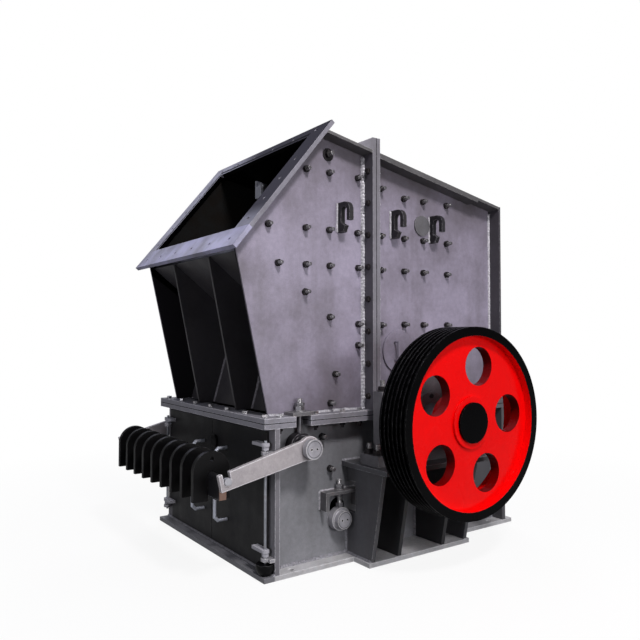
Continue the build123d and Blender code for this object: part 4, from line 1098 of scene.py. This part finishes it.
def bead(bm, start, end, side_a, side_b, size, wander=USUAL):
    """Fillet weld in the corner between two directions, with ripples and an uneven width."""
    start = Vector(start)
    end = Vector(end)
    a = Vector(side_a)
    b = Vector(side_b)
    length = (end - start).length
    count = max(2, ceil(length / (0.30 * size)))
    rings = []
    for i in range(count + 1):
        middle = start.lerp(end, i / count)
        swell = 1.0 + 0.10 * sin(2 * pi * i / 4.0)
        lean = noise.noise(middle * 45.0) * wander
        width = size * (swell + noise.noise(middle * 17.0 + Vector((3, 1, 7))) * wander)
        if i in (0, count):
            width *= 0.6
        ring = [middle + (a * 0.02 + b * 0.02) * -size]
        for u, v in BEAD_SHAPE:
            point = middle + a * (u * width * (1 + lean)) + b * (v * width * (1 - lean))
            ring.append(point + (a + b) * 0.04 * size * noise.noise(point * 160.0))
        rings.append([bm.verts.new(p) for p in ring])
    skin_rings(bm, rings)


def casing_welds():
    """Beads along the casing's seams, its middle flange and its base plate."""
    bright = bmesh.new()
    painted = bmesh.new()
    top = flange_top
    for side in SIDES:
        y = side * wall_y
        out = side * Y
        for bm, x, seam_top, away, size, wander in (
            (bright, split_front, FRONT_SEAM_TOP, -X, SEAM_BEAD, EVEN),
            (painted, split_rear, SPLIT_SEAM_TOP, X, THIN_BEAD, USUAL),
            (bright, rear_wall_x, REAR_SEAM_TOP, -X, FILLET_BEAD, FAIRLY_EVEN),
        ):
            bead(bm, (x, y, top), (x, y, seam_top), away, out, size, wander)
        for start, end in ((wall_foot_x, EYEBOLT_GAP[0]), (EYEBOLT_GAP[1], split_front)):
            bead(bright, (start, y, top), (end, y, top), out, Z, FOOT_BEAD, UNEVEN)
        for start, end in ((split_rear, -HOUSING_HALF), (HOUSING_HALF, rear_wall_x)):
            bead(painted, (start, y, top), (end, y, top), out, Z, FILLET_BEAD)
        for start, end, size in (
            (frame_back_x, -STAND_FOOT_HALF, BASE_BEAD),
            (STAND_FOOT_HALF, lower_rear_x, REAR_BASE_BEAD),
        ):
            bead(painted, (start, y, base_top), (end, y, base_top), out, Z, size)
        for x, away in ((frame_back_x, X), (lower_rear_x, -X)):
            bead(painted, (x, y, base_top), (x, y, flange_low), away, out, FILLET_BEAD)
    bead(painted, (frame_x, -flange_y, base_top), (frame_x, flange_y, base_top), -X, Z, FILLET_BEAD)
    finish_piece("casing_welds", bright, "casing", weld_bead, WELD_ANGLE)
    finish_piece("painted_welds", painted, "casing", painted_weld, WELD_ANGLE)


def stand_welds():
    """Beads round the gussets and the top plates of the bearing stands."""
    beads = bmesh.new()
    foot_start, foot_end = END_GUSSET_FOOT
    inner, outer = INNER_GUSSET_X
    for side in SIDES:
        y = side * wall_y
        out = side * Y
        for end in SIDES:
            face = end * END_GUSSET_X
            bead(beads, (face, y, base_top), (face, y, END_GUSSET_NOTCH), end * X, out,
                 FOOT_BEAD, UNEVEN)
            bead(beads, (face, side * foot_start, base_top), (face, side * foot_end, base_top),
                 end * X, Z, FILLET_BEAD)
            for x, away in ((inner, -end * X), (outer, end * X)):
                bead(beads, (end * x, y, base_top), (end * x, y, INNER_GUSSET_TOP), away, out,
                     THIN_BEAD)
        bead(beads, (-STAND_TOP_HALF, y, stand_top), (STAND_TOP_HALF, y, stand_top), out, Z,
             FILLET_BEAD)
    finish_piece("stand_welds", beads, "casing", painted_weld, WELD_ANGLE)


def hook_welds():
    """Beads at the lifting hooks, the adjusting brackets and the ribs of the front recess."""
    beads = bmesh.new()
    hook_low, hook_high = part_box("lifting_hooks")
    low, high = bracket_low, bracket_high
    for side in SIDES:
        y = side * wall_y
        out = side * Y
        for x in HOOK_PLACES:
            for end in SIDES:
                face = x + end * HOOK_HALF
                bead(beads, (face, y, hook_low.z), (face, y, hook_high.z), end * X, out,
                     HOOK_BEAD, ROUGH)
        for x, away in ((low.x, -X), (high.x, X)):
            bead(beads, (x, y, low.z), (x, y, high.z), away, out, HOOK_BEAD, ROUGH)
        bead(beads, (low.x, y, high.z), (high.x, y, high.z), out, Z, BRACKET_BEAD, ROUGH)
    slope = (RIB_HEAD - RIB_FOOT).normalized()
    front = Vector((-slope.z, 0, slope.x))
    ribs = bmesh.new()
    for rib in RIB_PLACES:
        for end in SIDES:
            shift = Y * (rib + end * RIB_HALF)
            bead(ribs, RIB_FOOT + shift, RIB_HEAD + shift, front, end * Y, FILLET_BEAD, ROUGH)
    finish_piece("hook_welds", beads, "casing", weld_bead, WELD_ANGLE)
    finish_piece("rib_welds", ribs, "casing", rib_weld, WELD_ANGLE)


wall_studs()
flange_bolts()
housing_bolts()
stud_nuts()
mouth_bracket()
casing_welds()
stand_welds()
hook_welds()


# Floor, world, lamps and camera

FLOOR_HALF = 60.0
DISCHARGE_HALF_X = 0.84
DISCHARGE_HALF_Y = wall_y - 0.01
FLOOR_MIRRORED = 0.3
WORLD_MIRRORED = 0.15

# Lamps: name, place, target, size, power and colour
LAMPS = (
    ("key", (-1.3, -4.6, 5.7), (-0.1, -0.6, 1.2), (0.9, 0.9), 290, (1.0, 0.97, 0.98)),
    ("side", (0.4, -5.8, 1.7), (0.0, -0.6, 1.0), (3.0, 2.0), 125, (0.98, 0.97, 1.0)),
    ("front", (-5.5, -1.5, 1.3), (-0.9, 0.0, 1.1), (2.2, 2.2), 55, (0.94, 0.94, 1.0)),
    ("window", (-0.9, 4.4, 4.4), (-0.9, 0.0, 1.7), (2.6, 1.6), 40, (0.72, 0.74, 1.0)),
    ("rear", (3.5, 4.5, 4.0), (0.2, 0.2, 1.2), (3.0, 3.0), 190, (1.0, 1.0, 1.0)),
)


def seen_share(shader, glossy):
    """1 for what the camera sees, and a smaller share for what a glossy face mirrors."""
    path = shader.new("LightPath")
    mirrored = shader.maths("MULTIPLY", path.outputs["Is Glossy Ray"], glossy)
    clear = shader.maths("MAXIMUM", path.outputs["Is Camera Ray"],
                         path.outputs["Is Transmission Ray"])
    return shader.maths("MAXIMUM", clear, mirrored)


def make_floor():
    """White where it is seen, painted dark as shade under the discharge, and dim as a source of
    light.
    """
    mesh = bpy.data.meshes.new("floor")
    bm = bmesh.new()
    bmesh.ops.create_grid(bm, x_segments=1, y_segments=1, size=FLOOR_HALF)
    bm.to_mesh(mesh)
    bm.free()
    floor = bpy.data.objects.new("floor", mesh)
    floor.location.z = -0.001
    scene.collection.objects.link(floor)
    shader = Shader("floor_white")
    place = apart(shader, shader.spot)
    # Painted shade on the floor under the discharge opening
    under = product(shader, (
        shader.below(shader.size_of(place["X"]), DISCHARGE_HALF_X),
        shader.below(shader.size_of(place["Y"]), DISCHARGE_HALF_Y),
    ))
    open_floor = shader.maths("SUBTRACT", 1.0, under)
    seen = product(shader, (seen_share(shader, FLOOR_MIRRORED), open_floor))
    colour = colour_mix(shader, seen, (0.07,) * 3, (0.86,) * 3)
    matt = shader.new("BsdfDiffuse", Color=colour)
    glow = shader.new("Emission")
    away = shader.vector("LENGTH", shader.spot, (0, 0, 0), "Value")
    glowing = product(shader, (seen, shader.span(away, 1.5, 4.0, 0.90, 1.0)))
    surface = shader.blend(glowing, matt.outputs[0], glow.outputs[0])
    shader.feed(shader.output.inputs["Surface"], surface)
    shader.tree.nodes.remove(shader.surface)
    mesh.materials.append(shader.material)


def make_world():
    """Weak light for the object, mostly from above, and white where the camera looks."""
    world = bpy.data.worlds.new("studio")
    scene.world = world
    world.use_nodes = True
    sky = Nodes(world.node_tree)
    place = sky.new("TexCoord")
    height = sky.span(apart(sky, place.outputs["Generated"])["Z"], -0.25, 0.8, 0.03, 0.26)
    fill = sky.new("Background", Color=(0.90, 0.92, 1.0, 1), Strength=height)
    white = sky.new("Background", Color=(1, 1, 1, 1))
    seen = seen_share(sky, WORLD_MIRRORED)
    sky.new("OutputWorld", Surface=sky.blend(seen, fill.outputs[0], white.outputs[0]))


def make_lamp(name, place, target, size, power, colour):
    """Rectangular lamp that looks at a target."""
    data = bpy.data.lights.new(name, "AREA")
    data.shape = "RECTANGLE"
    data.size, data.size_y = size
    data.energy = power
    data.color = colour
    lamp = bpy.data.objects.new(name, data)
    lamp.location = place
    lamp.rotation_mode = "QUATERNION"
    lamp.rotation_quaternion = (Vector(target) - Vector(place)).to_track_quat("-Z", "Y")
    scene.collection.objects.link(lamp)


def make_camera():
    """The photo's viewpoint, fitted to the base plate, the flanges and the pulley."""
    data = bpy.data.cameras.new("camera")
    data.sensor_width = 36.0
    data.lens = 36.38
    data.shift_x = 0.005
    data.shift_y = -0.008
    data.clip_start = 0.05
    data.clip_end = 200.0
    camera = bpy.data.objects.new("camera", data)
    camera.location = (-2.745, -3.660, 1.2955)
    camera.rotation_euler = (radians(90 + 1.83), radians(-0.05), radians(-35.24))
    scene.collection.objects.link(camera)
    scene.camera = camera


make_floor()
make_world()
for lamp in LAMPS:
    make_lamp(*lamp)
make_camera()
scene.view_settings.view_transform = "Standard"
